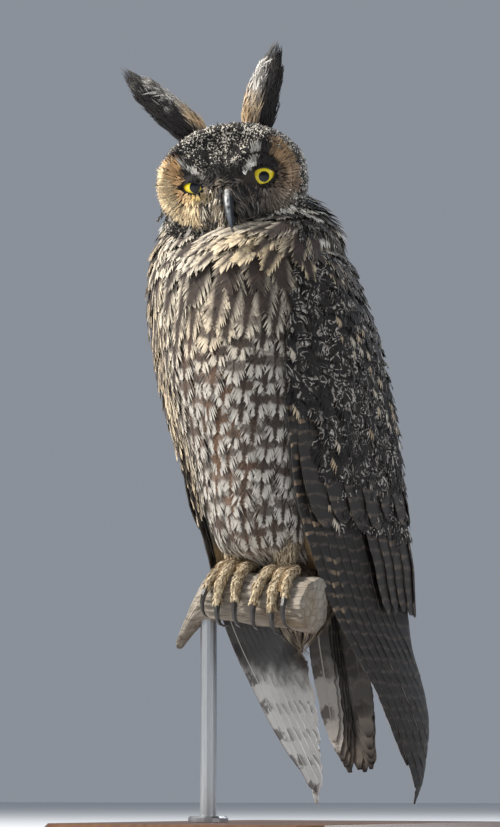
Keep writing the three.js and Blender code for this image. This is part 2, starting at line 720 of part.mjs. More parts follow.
function clawSolid(side, toe) {
  const sweep = Math.sign(toe.to - toe.from);
  const steps = 5;
  const root = toePath(side, toe, CLAW.rootedIn, PERCH.radius + 3.6);
  const stops = Array.from({ length: steps + 1 }, (_, r) => {
    const t = r / steps;
    const angle = toe.to + sweep * ((t * CLAW.length) / (PERCH.radius + 3) / DEG);
    const out = PERCH.radius + 3.6 + 3.2 * Math.sin(Math.PI * t * 0.9) - 1 * t;
    const s = side * (FOOT_SIDE + toe.offset + toe.spread * (1 + 0.25 * t));
    const radius = Math.max(CLAW.radius * (1 - t) ** 0.75, 0.25);
    return { at: r === 0 ? root : onPerch(s, out, angle), wide: radius, deep: radius * 1.1 };
  });
  return rodAlong(stops, perchAlong, 6);
}

// Legs
function legSolid(side) {
  const stops = [
    { at: point(side * 14.5, 25, 176), wide: 10, deep: 12 },
    { at: point(side * 15.5, 18, 166), wide: 12, deep: 13.5 },
    { at: point(side * 16, 12.5, 156), wide: 11, deep: 12 },
    { at: point(side * 15.5, 11, 149), wide: 8.6, deep: 9 },
    { at: point(side * 15, 11, 144), wide: 6.5, deep: 6.5 },
  ];
  return rodAlong(stops, point(1, 0, 0), 12);
}

// Stand
function baseSolid() {
  const rounded = (inset, z) => {
    const w = BASE.width / 2 - inset;
    const d = BASE.depth / 2 - inset;
    const r = BASE.corner - inset;
    const corners = [
      [w - r, d - r, 0],
      [r - w, d - r, 90],
      [r - w, r - d, 180],
      [w - r, r - d, 270],
    ];
    return corners.flatMap(([x, y, from]) =>
      Array.from({ length: 4 }, (_, k) => {
        const turn = (from + k * 30) * DEG;
        return point(x + r * Math.cos(turn), y + r * Math.sin(turn) - SET_BACK, z - LIFT);
      }),
    );
  };
  const edge = BASE.height - BASE.chamfer;
  return loft([rounded(1, 0), rounded(0, 1), rounded(0, edge), rounded(BASE.chamfer, BASE.height)]);
}

// The rod's profile from its flange on the base up into the perch, where the perch cuts it off.
function rodSolid() {
  const low = BASE.height - LIFT + GAP;
  const profile = [
    [0, low],
    [ROD.flange, low],
    [ROD.flange, low + ROD.flangeHeight - 1],
    [ROD.flange - 1, low + ROD.flangeHeight],
    [ROD.radius, low + ROD.flangeHeight],
    [ROD.radius, PERCH.z],
    [0, PERCH.z],
  ].map(([x, y]) => new THREE.Vector2(x, y));
  const lathe = new THREE.LatheGeometry(profile, 16);
  lathe.rotateX(Math.PI / 2);
  lathe.translate(ROD.at, PERCH.y, 0);
  return solidOf(lathe);
}

// Putting together
const eyeSides = { left: 1, right: -1 };
const lidSizes = { left: [14.6, 9.4, 10], right: [13, 6.8, 8] };
const flesh = bodySolid();
const skull = headSolid();
const perch = perchSolid();
const billUpper = billSolid(UPPER_BILL);
const billLower = cut(billSolid(LOWER_BILL), [swollen(billUpper)]);
const legs = { left: legSolid(1), right: legSolid(-1) };
const fleshRoom = swollen(flesh, 1.4 * GAP);
const skullRoom = swollen(skull);
const perchRoom = swollen(perch);
const legRooms = Object.values(legs).map((leg) => swollen(leg));
const farAway = 300;
const aboveNeck = boxBetween(
  point(-farAway, -farAway, NECK_AT - GAP / 2),
  point(farAway, farAway, 2 * farAway),
);
const belowNeck = boxBetween(point(-farAway, -farAway, -farAway), point(farAway, farAway, NECK_AT + GAP / 2));

const headForms = [skull];
const headCuts = [swollen(billUpper), swollen(billSolid(LOWER_BILL))];
Object.entries(eyeSides).forEach(([name, side]) => {
  const [width, height, tilt] = lidSizes[name];
  headForms.push(headBall(side * EYE.side, -EYE.depth, EYE.height, EYE.radius + EYE.lid, 12, 8));
  headCuts.push(headBall(side * EYE.side, -EYE.depth, EYE.height, EYE.radius + GAP, 12, 8));
  headCuts.push(lidOpening(side, width, height, tilt), mouthGroove(side));
});

const parts = {};
const footRooms = [];
const wholeHead = join(headForms);
parts.head = cut(wholeHead, headCuts);
parts.neck = cut(flesh, [belowNeck, swollen(wholeHead), swollen(billUpper), swollen(billLower)]);
parts.bill_upper = cut(
  billUpper,
  [1, -1].map((side) => headBall(side * NOSTRIL.side, NOSTRIL.y, NOSTRIL.z, NOSTRIL.radius, 7, 5)),
);
parts.bill_lower = billLower;
Object.entries(eyeSides).forEach(([name, side]) => {
  parts["eye_" + name] = headBall(side * EYE.side, -EYE.depth, EYE.height, EYE.radius, 12, 8);
});
parts.ear_tuft_left = cut(earTuft(EAR_LEFT), [skullRoom]);
parts.ear_tuft_right = cut(earTuft(EAR_RIGHT), [skullRoom]);
Object.entries(eyeSides).forEach(([name, side]) => {
  const toes = TOES.map((toe) => toeSolid(side, toe));
  const sole = rodAlong(
    [-7, 0, 7].map((s) => ({ at: onPerch(side * (FOOT_SIDE + s), PERCH.radius + 3, 88), wide: 5.4, deep: 5 })),
    point(0, 1, 0),
    8,
  );
  const claws = TOES.map((toe) => cut(clawSolid(side, toe), [perchRoom]));
  const clawRooms = claws.map((claw) => swollen(claw));
  const foot = join([sole, ...toes]);
  parts["leg_" + name] = cut(legs[name], [perchRoom]);
  parts["foot_" + name] = cut(foot, [perchRoom, ...legRooms, ...clawRooms]);
  footRooms.push(swollen(foot), ...clawRooms);
  TOES.forEach((toe, i) => {
    parts["claw_" + name + "_" + toe.name] = claws[i];
  });
});
parts.tail = cut(join([tailRod(0, 0.27, 9.5, 4.6, 8), ...tailFeathers()]), [fleshRoom]);
parts.torso = cut(flesh, [aboveNeck, perchRoom, ...legRooms, ...footRooms]);

const tailRoom = tailRod(-0.02, 1.1, 20, 7.5, 10);
const wing = cut(join([wingCore(), ...wingFeathers()]), [fleshRoom, tailRoom, ...legRooms]);
parts.wing_left = cut(wing, [perchRoom, ...footRooms]);
parts.wing_right = cut(mirrored(wing), [perchRoom, ...footRooms]);
parts.perch = perch;
parts.stand_base = baseSolid();
parts.stand_rod = cut(rodSolid(), [perchRoom]);

// Colours
const finish = (color, roughness, metalness = 0) => ({ color, roughness, metalness });
const FINISHES = {
  head: finish(0x8a6a48, 0.95),
  neck: finish(0x7a6650, 0.95),
  torso: finish(0xa39584, 0.95),
  bill: finish(0x4c4f54, 0.45),
  eye: finish(0xe6b800, 0.1),
  ear: finish(0x2a2420, 0.95),
  wing: finish(0x4a3f36, 0.9),
  tail: finish(0x6e6052, 0.9),
  leg: finish(0xb09468, 0.95),
  foot: finish(0xc2a36c, 0.9),
  claw: finish(0x1c1a19, 0.35),
  perch: finish(0x857d74, 0.9),
};
const STAND_FINISHES = {
  stand_base: finish(0x3b2a1e, 0.4),
  stand_rod: finish(0x8d8f92, 0.35, 1),
};

const owl = new THREE.Group();
owl.position.set(0, SET_BACK, LIFT);
Object.entries(parts).forEach(([name, solid]) => {
  const looks = STAND_FINISHES[name] ?? FINISHES[name.split("_")[0]];
  const mesh = new THREE.Mesh(surfaceOf(largest(solid)), new THREE.MeshStandardMaterial(looks));
  mesh.name = name;
  owl.add(mesh);
});

const group = new THREE.Group();
group.add(owl);
export default group;
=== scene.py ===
import math

import bpy
import numpy as np
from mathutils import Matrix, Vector


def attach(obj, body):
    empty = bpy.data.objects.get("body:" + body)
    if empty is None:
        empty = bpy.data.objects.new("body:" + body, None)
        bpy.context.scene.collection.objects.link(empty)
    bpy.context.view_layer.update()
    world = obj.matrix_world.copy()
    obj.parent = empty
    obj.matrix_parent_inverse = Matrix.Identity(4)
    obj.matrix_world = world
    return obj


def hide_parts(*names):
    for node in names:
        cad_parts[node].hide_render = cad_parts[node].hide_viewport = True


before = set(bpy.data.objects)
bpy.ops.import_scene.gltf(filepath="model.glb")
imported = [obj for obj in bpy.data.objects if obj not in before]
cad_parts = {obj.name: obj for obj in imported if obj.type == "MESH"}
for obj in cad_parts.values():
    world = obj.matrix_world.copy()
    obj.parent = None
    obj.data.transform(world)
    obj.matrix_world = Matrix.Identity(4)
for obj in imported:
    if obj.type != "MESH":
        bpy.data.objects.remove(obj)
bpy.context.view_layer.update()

# Camera, floor and light
# The camera stands in front and to the bird's left, a little below its middle, and looks up at it.
# A pale floor runs under the stand, and large soft lamps light the bird from its right and from the front.
LOOK_AT = np.array([0.0, -0.033, 0.230])
CAMERA_AT = np.array([0.6804, -1.1219, 0.0266])
camera = bpy.data.objects.new("camera", bpy.data.cameras.new("camera"))
bpy.context.scene.collection.objects.link(camera)
camera.data.sensor_width = 36.0
camera.data.lens = 104.8
camera.data.clip_start = 0.05
camera.data.clip_end = 50.0


def aim(thing, at, towards):
    """Puts a camera or a lamp at a place and turns it to look at another, level."""
    thing.location = Vector(at)
    thing.rotation_mode = "QUATERNION"
    thing.rotation_quaternion = Vector(np.subtract(towards, at)).to_track_quat("-Z", "Y")


aim(camera, CAMERA_AT, LOOK_AT)
bpy.context.scene.camera = camera


def lamp(name, at, size, power, colour):
    """A square soft lamp of a size in metres, aimed at the bird."""
    made = bpy.data.objects.new(name, bpy.data.lights.new(name, "AREA"))
    made.data.size = size
    made.data.energy = power
    made.data.color = colour
    bpy.context.scene.collection.objects.link(made)
    aim(made, at, LOOK_AT)


lamp("key_lamp", (-0.98, -1.18, 1.35), 0.45, 76.0, (1.0, 0.96, 0.90))
lamp("side_lamp", (1.75, -0.35, 1.05), 0.8, 9.0, (0.95, 0.97, 1.0))
lamp("back_lamp", (0.3, 1.3, 1.3), 0.8, 14.0, (0.92, 0.96, 1.0))
world = bpy.data.worlds.new("studio")
bpy.context.scene.world = world
world.use_nodes = True
sky = world.node_tree.nodes["Background"].inputs
sky["Color"].default_value = (0.66, 0.72, 0.82, 1.0)
sky["Strength"].default_value = 0.39
bpy.context.scene.view_settings.view_transform = "Standard"


class Finish:
    """A material being mixed: its nodes are added one by one, and each gives its output to the next."""

    def __init__(self, name, roughness=0.6):
        self.material = bpy.data.materials.new(name)
        self.material.use_nodes = True
        self.tree = self.material.node_tree
        self.shader = self.tree.nodes["Principled BSDF"]
        self.shader.inputs["Roughness"].default_value = roughness

    def join(self, value, socket):
        """Joins an output to a socket, or sets the socket to a plain value."""
        if isinstance(value, bpy.types.NodeSocket):
            self.tree.links.new(value, socket)
        else:
            socket.default_value = value

    def add(self, kind, inputs=(), output=0, **settings):
        node = self.tree.nodes.new(kind)
        for name, value in settings.items():
            setattr(node, name, value)
        for key, value in dict(inputs).items():
            self.join(value, node.inputs[key])
        return node.outputs[output]

    def sum(self, operation, *values):
        """One step of arithmetic on numbers."""
        return self.add("ShaderNodeMath", dict(enumerate(values)), operation=operation)

    def times(self, value, by):
        return self.sum("MULTIPLY", value, by)

    def scaled(self, value, by, plus):
        return self.sum("MULTIPLY_ADD", value, by, plus)

    def parts(self, vector):
        """A vector's three numbers."""
        node = self.tree.nodes.new("ShaderNodeSeparateXYZ")
        self.join(vector, node.inputs[0])
        return node.outputs

    def step(self, value, low, high):
        """0 below low, 1 above high, smooth between. With low above high it falls instead."""
        inputs = {"Value": value, "From Min": low, "From Max": high}
        return self.add("ShaderNodeMapRange", inputs, interpolation_type="SMOOTHSTEP")

    def blend(self, share, first, second):
        """One colour passing into another as share goes from 0 to 1."""
        node = self.tree.nodes.new("ShaderNodeMix")
        node.data_type = "RGBA"
        for key, value in ((0, share), (6, first), (7, second)):
            self.join(value, node.inputs[key])
        return node.outputs[2]

    def noise(self, place, scale, detail=2.0, **more):
        inputs = {"Vector": place, "Scale": scale, "Detail": detail, **more}
        return self.add("ShaderNodeTexNoise", inputs)

    def place(self):
        """Places on the piece itself, in metres."""
        return self.add("ShaderNodeTexCoord", output="Object")

    def stretched(self, scale):
        """Those places, with the pattern drawn out along the axes whose scale is small."""
        return self.add("ShaderNodeMapping", {"Vector": self.place(), "Scale": scale})

    def colour(self, value):
        self.join(value, self.shader.inputs["Base Color"])

    def bump(self, height, depth, strength=1.0):
        inputs = {"Height": height, "Distance": depth, "Strength": strength}
        self.join(self.add("ShaderNodeBump", inputs), self.shader.inputs["Normal"])


def made_object(name, mesh, finish, body="root"):
    """An object from a mesh, with its finish, riding on its body."""
    made = bpy.data.objects.new(name, mesh)
    bpy.context.scene.collection.objects.link(made)
    mesh.materials.append(finish.material)
    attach(made, body)
    return made


floor_grid = np.array([[-6.0, -6.0, 0.0], [6.0, -6.0, 0.0], [6.0, 6.0, 0.0], [-6.0, 6.0, 0.0]])
floor_mesh = bpy.data.meshes.new("floor")
floor_mesh.from_pydata(floor_grid.tolist(), [], [(0, 1, 2, 3)])
floor_finish = Finish("floor_paint", 0.7)
tone = floor_finish.noise(floor_finish.place(), 3.0)
floor_colour = floor_finish.blend(tone, (0.66, 0.68, 0.70, 1.0), (0.70, 0.72, 0.74, 1.0))
floor_finish.colour(floor_colour)
floor_mesh.materials.append(floor_finish.material)
floor = bpy.data.objects.new("floor", floor_mesh)
bpy.context.scene.collection.objects.link(floor)

# Skin
# Under the feathers lies one modelled skin over head, neck, body, wing roots, legs and toes, cast in one
# piece. It is painted in the tones of the feathers over it, darkened on the body to a fifth of them as
# painted shade in the gaps between feathers, and lies as far inside the outline as they are deep there.
BODY = np.array([  # height, half the width, where the breast stands, where the back stands
    [104, 5, 50, 56], [110, 12, 44, 61], [122, 17, 37, 68], [132, 21, 34, 73], [142, 26, 16, 76],
    [150, 29, -4, 78], [170, 34, -18, 81], [190, 37, -26, 80], [210, 41, -34, 76], [230, 44, -42, 70],
    [250, 46.5, -47, 62], [270, 48.5, -51, 54], [290, 50, -54, 49], [303, 51, -52, 46],
    [313, 52, -45, 42], [322, 49, -36, 37], [332, 41, -28, 29], [344, 26, -20, 14],
], float)
BODY_FULLNESS = 2.35
HEAD_AT = np.array([5.0, -24.7, 346.5])
HEAD_TURN, HEAD_NOD, HEAD_LEAN = 24.5, 14.0, 7.0
HEAD_HALF, HEAD_TOP, HEAD_BOTTOM = 39.6, 29.5, 31.0
RIM_REACH, RIM_DEPTH = 0.92, -21
SKULL = np.array([  # behind the face's rim: how far out it reaches, as a share of its half, and how far back
    [0.99, -16], [1.03, -8], [1.02, 2], [0.97, 11], [0.88, 19], [0.74, 26], [0.55, 31], [0.32, 34],
    [0.02, 35.4],
])
EYE_SIDE, EYE_DEPTH, EYE_HEIGHT, EYE_RADIUS = 18.2, 13.5, -0.6, 9.0
PERCH_Y, PERCH_Z, PERCH_RADIUS, PERCH_FALL = 12.0, 124.0, 13.5, 9.0
FOOT_SIDE = 14.0
BIRD_AT = (0.0, -33.0, 7.0)
UNDER_BODY, UNDER_HEAD, UNDER_WING, UNDER_LEG = 3.4, 2.0, 4.2, 2.2


def metres(points):
    """Places in the bird's own frame, in metres from the middle of the stand's foot on the floor."""
    return (np.asarray(points, float) + BIRD_AT) / 1000.0


def joined(*parts):
    """Numbers and arrays side by side, as one array's last axis."""
    return np.stack(np.broadcast_arrays(*parts), -1)


def unit(vectors):
    return vectors / np.maximum(np.linalg.norm(vectors, axis=-1, keepdims=True), 1e-9)


def bell(distance, width):
    return np.exp(-((distance / width) ** 2))


def ease(value, low, high):
    """0 below low, 1 above high and smooth between. With low above high it falls instead."""
    share = np.clip((value - low) / (high - low), 0.0, 1.0)
    return share * share * (3.0 - 2.0 * share)


def signed_power(value, power):
    return np.sign(value) * np.abs(value) ** power


def smooth_through(marks, values, at):
    """A smooth curve through marked values, level past both ends. Each step is a cubic whose slopes at its
    ends are those from the mark before to the mark after."""
    marks = np.asarray(marks, float)
    values = np.asarray(values, float)
    at = np.clip(at, marks[0], marks[-1])
    numbers = np.arange(len(marks))
    before = np.maximum(numbers - 1, 0)
    after = np.minimum(numbers + 1, len(marks) - 1)
    slopes = ((values[after] - values[before]).T / (marks[after] - marks[before])).T
    i = np.clip(np.searchsorted(marks, at, side="right") - 1, 0, len(marks) - 2)
    span = marks[i + 1] - marks[i]
    t = (at - marks[i]) / span
    shape = t.shape + (1,) * (values.ndim - 1)
    t, span = t.reshape(shape), span.reshape(shape)
    start = (2 * t**3 - 3 * t**2 + 1) * values[i] + (t**3 - 2 * t**2 + t) * span * slopes[i]
    return start + (3 * t**2 - 2 * t**3) * values[i + 1] + (t**3 - t**2) * span * slopes[i + 1]


def body_places(turn, z, inside=0.0):
    """Round the body at a height: an oval fuller than an ellipse, from BODY's half width, front and back
    there. The turn is 0 on the left side and a quarter of a circle on the back. All is drawn in by
    inside."""
    half, front, back = np.moveaxis(smooth_through(BODY[:, 0], BODY[:, 1:], z), -1, 0)
    half, front, back = np.maximum(half - inside, 2.0), front + inside, back - inside
    power = 2.0 / BODY_FULLNESS
    x = half * signed_power(np.cos(turn), power)
    y = (front + back) / 2 + np.maximum(back - front, 3.0) / 2 * signed_power(np.sin(turn), power)
    return joined(x, y, z)


def turned(axis, degrees):
    """The matrix of a turn round x (0), y (1) or z (2)."""
    angle = math.radians(degrees)
    a, b = [(1, 2), (2, 0), (0, 1)][axis]
    made = np.eye(3)
    made[a, a] = made[b, b] = math.cos(angle)
    made[b, a], made[a, b] = math.sin(angle), -math.sin(angle)
    return made


HEAD_TURNED = turned(2, HEAD_TURN) @ turned(0, HEAD_NOD) @ turned(1, -HEAD_LEAN)


def from_head(points):
    """Places in the head's own frame, zero between the eyes, +Z up and the face to -Y, put on the bird."""
    return np.asarray(points, float) @ HEAD_TURNED.T + HEAD_AT


def to_head(points):
    return (np.asarray(points, float) - HEAD_AT) @ HEAD_TURNED


def face_forward(x, z):
    """How far the face stands forward: a flat dome with a dish round each eye, a ruff round both, brows
    that rise from between the eyes, and a ridge down to the bill."""
    out = np.hypot(x / HEAD_HALF, z / HEAD_TOP)
    side = np.abs(x)
    along = np.clip((side - 4) / 22, 0, 1)
    brow = bell(np.hypot(side - (4 + 22 * along), z - (7 + 14 * along)), 4.5)
    dish = bell(np.hypot((side - 21) / 10, (z - 1) / 11), 1)
    ridge = bell(x, 6) * bell(z + 9, 15)
    return 27 - 7 * out**2 + 6.5 * ridge + 3.4 * brow + 2.6 * bell(out - 0.9, 0.09) - 3.8 * dish


def skull_line(t):
    """How far out and how far back the head reaches at t, level in depth over the face."""
    marks = np.linspace(0.5, 1, 10)
    reach = np.where(t < 0.5, 2 * RIM_REACH * t, smooth_through(marks, np.r_[RIM_REACH, SKULL[:, 0]], t))
    return reach, smooth_through(marks, np.r_[RIM_DEPTH, SKULL[:, 1]], t)


def head_places(turn, t, inside=0.0):
    """Round the head: an oval outline, narrower above, at a reach and a depth. t runs from the middle of
    the face, out over its front to 0.5 at its rim, and on over the skull to 1 at its back."""
    cosine, sine = np.cos(turn), np.sin(turn)
    reach, depth = skull_line(t)
    power = 2 / 2.25
    narrow = 1 - 0.1 * np.maximum(sine, 0) ** 1.5
    x = (HEAD_HALF - inside) * narrow * reach * signed_power(cosine, power)
    tall = np.where(sine > 0, HEAD_TOP, HEAD_BOTTOM) - inside
    z = tall * reach * signed_power(sine, power)
    front = -face_forward(x, z) + inside
    rear = np.where(depth > 0, depth * (1 - inside / 36), depth)
    y = front + (rear - front) * ease(t, 0.49, 0.53)
    return from_head(joined(x, y, z))


def perch_places(along, out, angle):
    """A place by the perch: along it to the bird's left, out from its middle, and round it from 0 in front
    to 90 degrees on top."""
    fall, angle = math.radians(PERCH_FALL), np.radians(angle)
    forth = np.array([math.cos(fall), 0, -math.sin(fall)])
    up = np.array([math.sin(fall), 0, math.cos(fall)])
    along, out, angle = (v[..., None] for v in np.broadcast_arrays(*map(np.asarray, (along, out, angle))))
    round_it = np.cos(angle) * np.array([0, -1, 0]) + np.sin(angle) * up
    return np.array([0, PERCH_Y, PERCH_Z]) + along * forth + out * round_it


def rod_places(path, wide, deep, side, turns):
    """Rings of places along a path: each ring is an oval as wide as asked towards a side, and as deep
    across it."""
    path = np.asarray(path, float)
    along = unit(np.gradient(path, axis=0))
    side = np.broadcast_to(np.asarray(side, float), path.shape)
    flank = unit(side - along * np.sum(side * along, -1, keepdims=True))
    across = np.cross(along, flank)
    wide = np.broadcast_to(wide, len(path))[:, None, None]
    deep = np.broadcast_to(deep, len(path))[:, None, None]
    turns = turns[None, :, None]
    return path[:, None] + wide * np.cos(turns) * flank[:, None] + deep * np.sin(turns) * across[:, None]


def round_turns(count):
    return np.arange(count) * 2 * math.pi / count


def mesh_of(name, places, faces, smooth=True):
    """A mesh from places in the bird's frame and arrays of triangles and of four-sided faces. Smooth is one
    word for all of them or one for each array."""
    mesh = bpy.data.meshes.new(name)
    mesh.vertices.add(len(places))
    mesh.vertices.foreach_set("co", np.ascontiguousarray(metres(places), np.float32).ravel())
    corners = np.concatenate([np.asarray(f, np.int32).ravel() for f in faces])
    sizes = np.concatenate([np.full(len(f), np.shape(f)[1], np.int32) for f in faces])
    mesh.loops.add(len(corners))
    mesh.loops.foreach_set("vertex_index", corners)
    mesh.polygons.add(len(sizes))
    mesh.polygons.foreach_set("loop_start", np.concatenate([[0], np.cumsum(sizes)[:-1]]).astype(np.int32))
    smooth = np.broadcast_to(smooth, len(faces))
    mesh.polygons.foreach_set("use_smooth", np.repeat(smooth, [len(f) for f in faces]))
    mesh.update(calc_edges=True)
    return mesh


def closed_rings(rings):
    """Places and faces of a closed surface over rings: each ring joins the next, and both ends close on a
    middle."""
    count, each = rings.shape[:2]
    numbers = np.arange(count * each).reshape(count, each)
    ahead = np.roll(numbers, -1, axis=1)
    walls = joined(numbers[:-1], ahead[:-1], ahead[1:], numbers[1:]).reshape(-1, 4)
    ends = count * each + np.arange(2)
    first = joined(ahead[0], numbers[0], np.full(each, ends[0]))
    last = joined(numbers[-1], ahead[-1], np.full(each, ends[1]))
    places = np.concatenate([rings.reshape(-1, 3), rings[[0, -1]].mean(axis=1)])
    return places, [walls, np.concatenate([first, last])]


def outward(places, faces):
    """The same faces, turned round if they enclose a negative volume."""
    volume = sum(
        np.sum(np.cross(places[f[:, 0]], places[f[:, k]]) * places[f[:, k + 1]])
        for f in map(np.asarray, faces)
        for k in range(1, f.shape[1] - 1)
    )
    return faces if volume > 0 else [np.asarray(f)[:, ::-1] for f in faces]


def together(shells):
    """Several surfaces' places and faces as one."""
    places = np.concatenate([p for p, _ in shells])
    shifts = np.cumsum([0] + [len(p) for p, _ in shells[:-1]])
    faces = [np.asarray(f) + shift for (_, group), shift in zip(shells, shifts) for f in group]
    return places, faces


def shell(rings):
    places, faces = closed_rings(rings)
    return places, outward(places, faces)


WING = np.array([  # height, then x and y of the front edge, two places on the side, rear corner, inner edge
    [13, 32, 121, 32, 121.8, 32, 122.6, 32, 123.4, 31.8, 124.2],
    [25, 34, 111, 34.5, 117, 34.5, 124, 33.8, 131, 33, 134],
    [40, 36, 100, 37, 109, 37, 123, 35, 134, 33, 137],
    [60, 38.5, 84, 40, 98, 40, 118, 37, 134, 34, 137],
    [80, 40, 67, 42, 84, 42, 108, 38.5, 126, 34, 130],
    [100, 39, 46, 42, 66, 43, 92, 40, 112, 30, 117],
    [120, 37, 28, 41.5, 51, 43, 82, 40, 107, 9, 104],
    [150, 34.5, 10, 41.5, 37, 45, 72, 41.5, 101, 1.2, 97],
    [180, 34.5, -7, 43.5, 24, 47.5, 62, 43.5, 91, 1.2, 92],
    [205, 37, -18, 47.5, 12, 50, 52, 45, 84, 1.2, 86],
    [230, 39.5, -26, 52, 2, 53, 40, 47, 73, 3, 76],
    [260, 44, -30, 56, -4, 57, 28, 47.5, 58, 10, 65],
    [290, 46, -31, 56.5, -8, 55, 18, 43.5, 44, 18, 52],
    [302, 45, -27, 53.5, -7, 52, 15, 41.5, 39, 22, 47],
    [313, 38, -19, 44.5, -5, 44, 11, 36, 31, 25, 38],
])
WING_TOP, WING_TIP = 313.0, 13.0


def wing_grid(heights, across):
    """The folded left wing's outer surface: at each height a smooth line through its five places, parted
    evenly."""
    rows = []
    for height, row in zip(heights, smooth_through(WING[:, 0], WING[:, 1:], heights)):
        marks = row.reshape(5, 2)
        run = np.concatenate([[0], np.cumsum(np.linalg.norm(np.diff(marks, axis=0), axis=1))])
        fine = smooth_through(run, marks, np.linspace(0, run[-1], 160))
        lengths = np.concatenate([[0], np.cumsum(np.linalg.norm(np.diff(fine, axis=0), axis=1))])
        wanted = np.linspace(0, lengths[-1], across)
        line = np.stack([np.interp(wanted, lengths, fine[:, k]) for k in range(2)], -1)
        rows.append(np.column_stack([line, np.full(across, height)]))
    return np.array(rows)


body_rings = body_places(round_turns(120)[None, :], np.linspace(106, 340, 110)[:, None], UNDER_BODY)
head_rings = head_places(round_turns(120)[None, :], np.linspace(0.02, 0.995, 110)[:, None], UNDER_HEAD)
flesh = [shell(body_rings), shell(head_rings)]
neck_path = np.linspace([0.0, -3.0, 300.0], [5.0, -20.0, 335.0], 12)
neck_wide, neck_deep = np.linspace(40, 27, 12), np.linspace(30, 19, 12)
flesh.append(shell(rod_places(neck_path, neck_wide, neck_deep, (1, 0, 0), round_turns(60))))
core_heights = np.linspace(308, 140, 60)
core_line = wing_grid(core_heights, 40)
core_middle = joined(0.0, smooth_through(BODY[:, 0], BODY[:, 2:].mean(1), core_heights), core_heights)
core_out = unit(np.cross(np.gradient(core_line, axis=0), np.gradient(core_line, axis=1)))
core_outer = core_line - core_out * UNDER_WING
core_outer[..., 0] = np.maximum(core_outer[..., 0], 1.0)
core_inner = core_outer + (core_middle[:, None] - core_outer) * 0.45
core_rings = np.concatenate([core_outer, core_inner[:, ::-1]], axis=1)
flesh += [shell(core_rings), shell(core_rings * (-1, 1, 1))]
LEG = np.array([  # places down the left leg, half its width and half its depth there
    [14.5, 25, 176, 10, 12], [15.5, 18, 166, 12, 13.5], [16, 12.5, 156, 11, 12], [15.5, 11, 149, 8.6, 9],
    [15, 11, 142, 6.5, 6.5],
])
leg_stops = smooth_through(np.arange(5), LEG, np.linspace(0, 4, 24))
TOES = [  # name, start and spread along the perch, start and end round it in degrees, half its width
    ("inner", -5.5, -2.5, 88, -14, 3.7),
    ("middle", 1.8, 1.5, 88, -22, 3.9),
    ("outer", 5.5, 5.5, 84, 4, 3.5),
    ("hind", -2.0, -2.0, 92, 176, 3.5),
]


def toe_path(side, toe, t, out):
    """Along a toe: over the perch by an angle that grows evenly, spreading evenly along the perch."""
    _, offset, spread, start, end, _ = toe
    return perch_places(side * (FOOT_SIDE + offset + spread * t), out, start + (end - start) * t)


def toe_half(toe, t):
    """Half a toe's width: it tapers, with four pads under it."""
    return toe[5] * (1.1 - 0.32 * t) * (1 + 0.08 * np.cos(t * 6 * math.pi))


toe_steps = np.linspace(0, 1, 22)
for side in (1, -1):
    leg_path = leg_stops[:, :3] * (side, 1, 1)
    leg_wide, leg_deep = leg_stops[:, 3] - UNDER_LEG, leg_stops[:, 4] - UNDER_LEG
    flesh.append(shell(rod_places(leg_path, leg_wide, leg_deep, (1, 0, 0), round_turns(28))))
    sole = perch_places(side * (FOOT_SIDE + np.linspace(-7, 7, 9)), PERCH_RADIUS + 3, 88)
    flesh.append(shell(rod_places(sole, 4.6, 4.4, (0, 1, 0), round_turns(20))))
    for toe in TOES:
        path = toe_path(side, toe, toe_steps, PERCH_RADIUS + 3.6)
        half = toe_half(toe, toe_steps) - 0.7
        flesh.append(shell(rod_places(path, half, half, (1, 0, 0), round_turns(16))))
skin_mesh = mesh_of("skin", *together(flesh))
skin = bpy.data.objects.new("skin", skin_mesh)
bpy.context.scene.collection.objects.link(skin)
fuse = skin.modifiers.new("fuse", "REMESH")
fuse.mode = "VOXEL"
fuse.voxel_size = 0.0014
fuse.use_smooth_shade = True
fused = bpy.data.meshes.new_from_object(skin.evaluated_get(bpy.context.evaluated_depsgraph_get()))
skin.modifiers.clear()
skin.data = fused


def paint(red, green, blue):
    """A colour given from 0 to 255, as light: each part of it raised to a power of 2.2."""
    return ((red / 255) ** 2.2, (green / 255) ** 2.2, (blue / 255) ** 2.2, 1.0)


def tone_of(colour):
    return np.array(paint(*colour)[:3])


def passing(tones, share, others):
    """Tones passing into others by a share of each."""
    return tones + (others - tones) * np.clip(share, 0, 1)[..., None]


def washed(tones, share, colour):
    return passing(tones, share, tone_of(colour))


def body_tones(points):
    """The pale ground of the body feathers where they show: a buff fold at the throat's left side with a
    dark grey patch painted under it as painted shade, cream and white down the breast and the right flank,
    white and grey over the belly, brown behind."""
    x, y, z = np.moveaxis(points, -1, 0)
    tones = np.broadcast_to(tone_of((172, 167, 159)), points.shape)
    tones = washed(tones, 0.6 * ease(z, 240, 275), (196, 186, 166))
    tones = washed(tones, 0.7 * bell(x + 40, 13) * ease(z, 130, 190), (226, 210, 182))
    tones = washed(tones, 0.5 * bell(np.hypot((x - 2) / 1.5, z - 258), 17), (206, 182, 144))
    # A dark grey patch under the buff fold: painted shade where the fold's raised feathers overhang.
    tones = washed(tones, 0.8 * bell(np.hypot((x - 22) / 1.7, z - 279), 9), (104, 94, 86))
    tones = washed(tones, 0.9 * bell(np.hypot((x - 28) / 2.2, z - 293), 8), (224, 200, 158))
    tones = washed(tones, 0.5 * ease(z, 165, 125), (160, 144, 124))
    return washed(tones, 0.9 * ease(y, 6, 28), (104, 92, 80))


def tip_tones(points, flow, length):
    return body_tones(points + unit(flow) * np.reshape(length, (-1, 1)) * 0.85)


def give_tones(mesh, tones):
    layer = mesh.attributes.new("tone", "FLOAT_COLOR", "POINT")
    layer.data.foreach_set("color", tones.astype(np.float32).ravel())


def places_of(mesh):
    """A mesh's places, back in the bird's own frame and millimetres."""
    flat = np.empty(len(mesh.vertices) * 3, np.float32)
    mesh.vertices.foreach_get("co", flat)
    return flat.reshape(-1, 3).astype(float) * 1000 - BIRD_AT


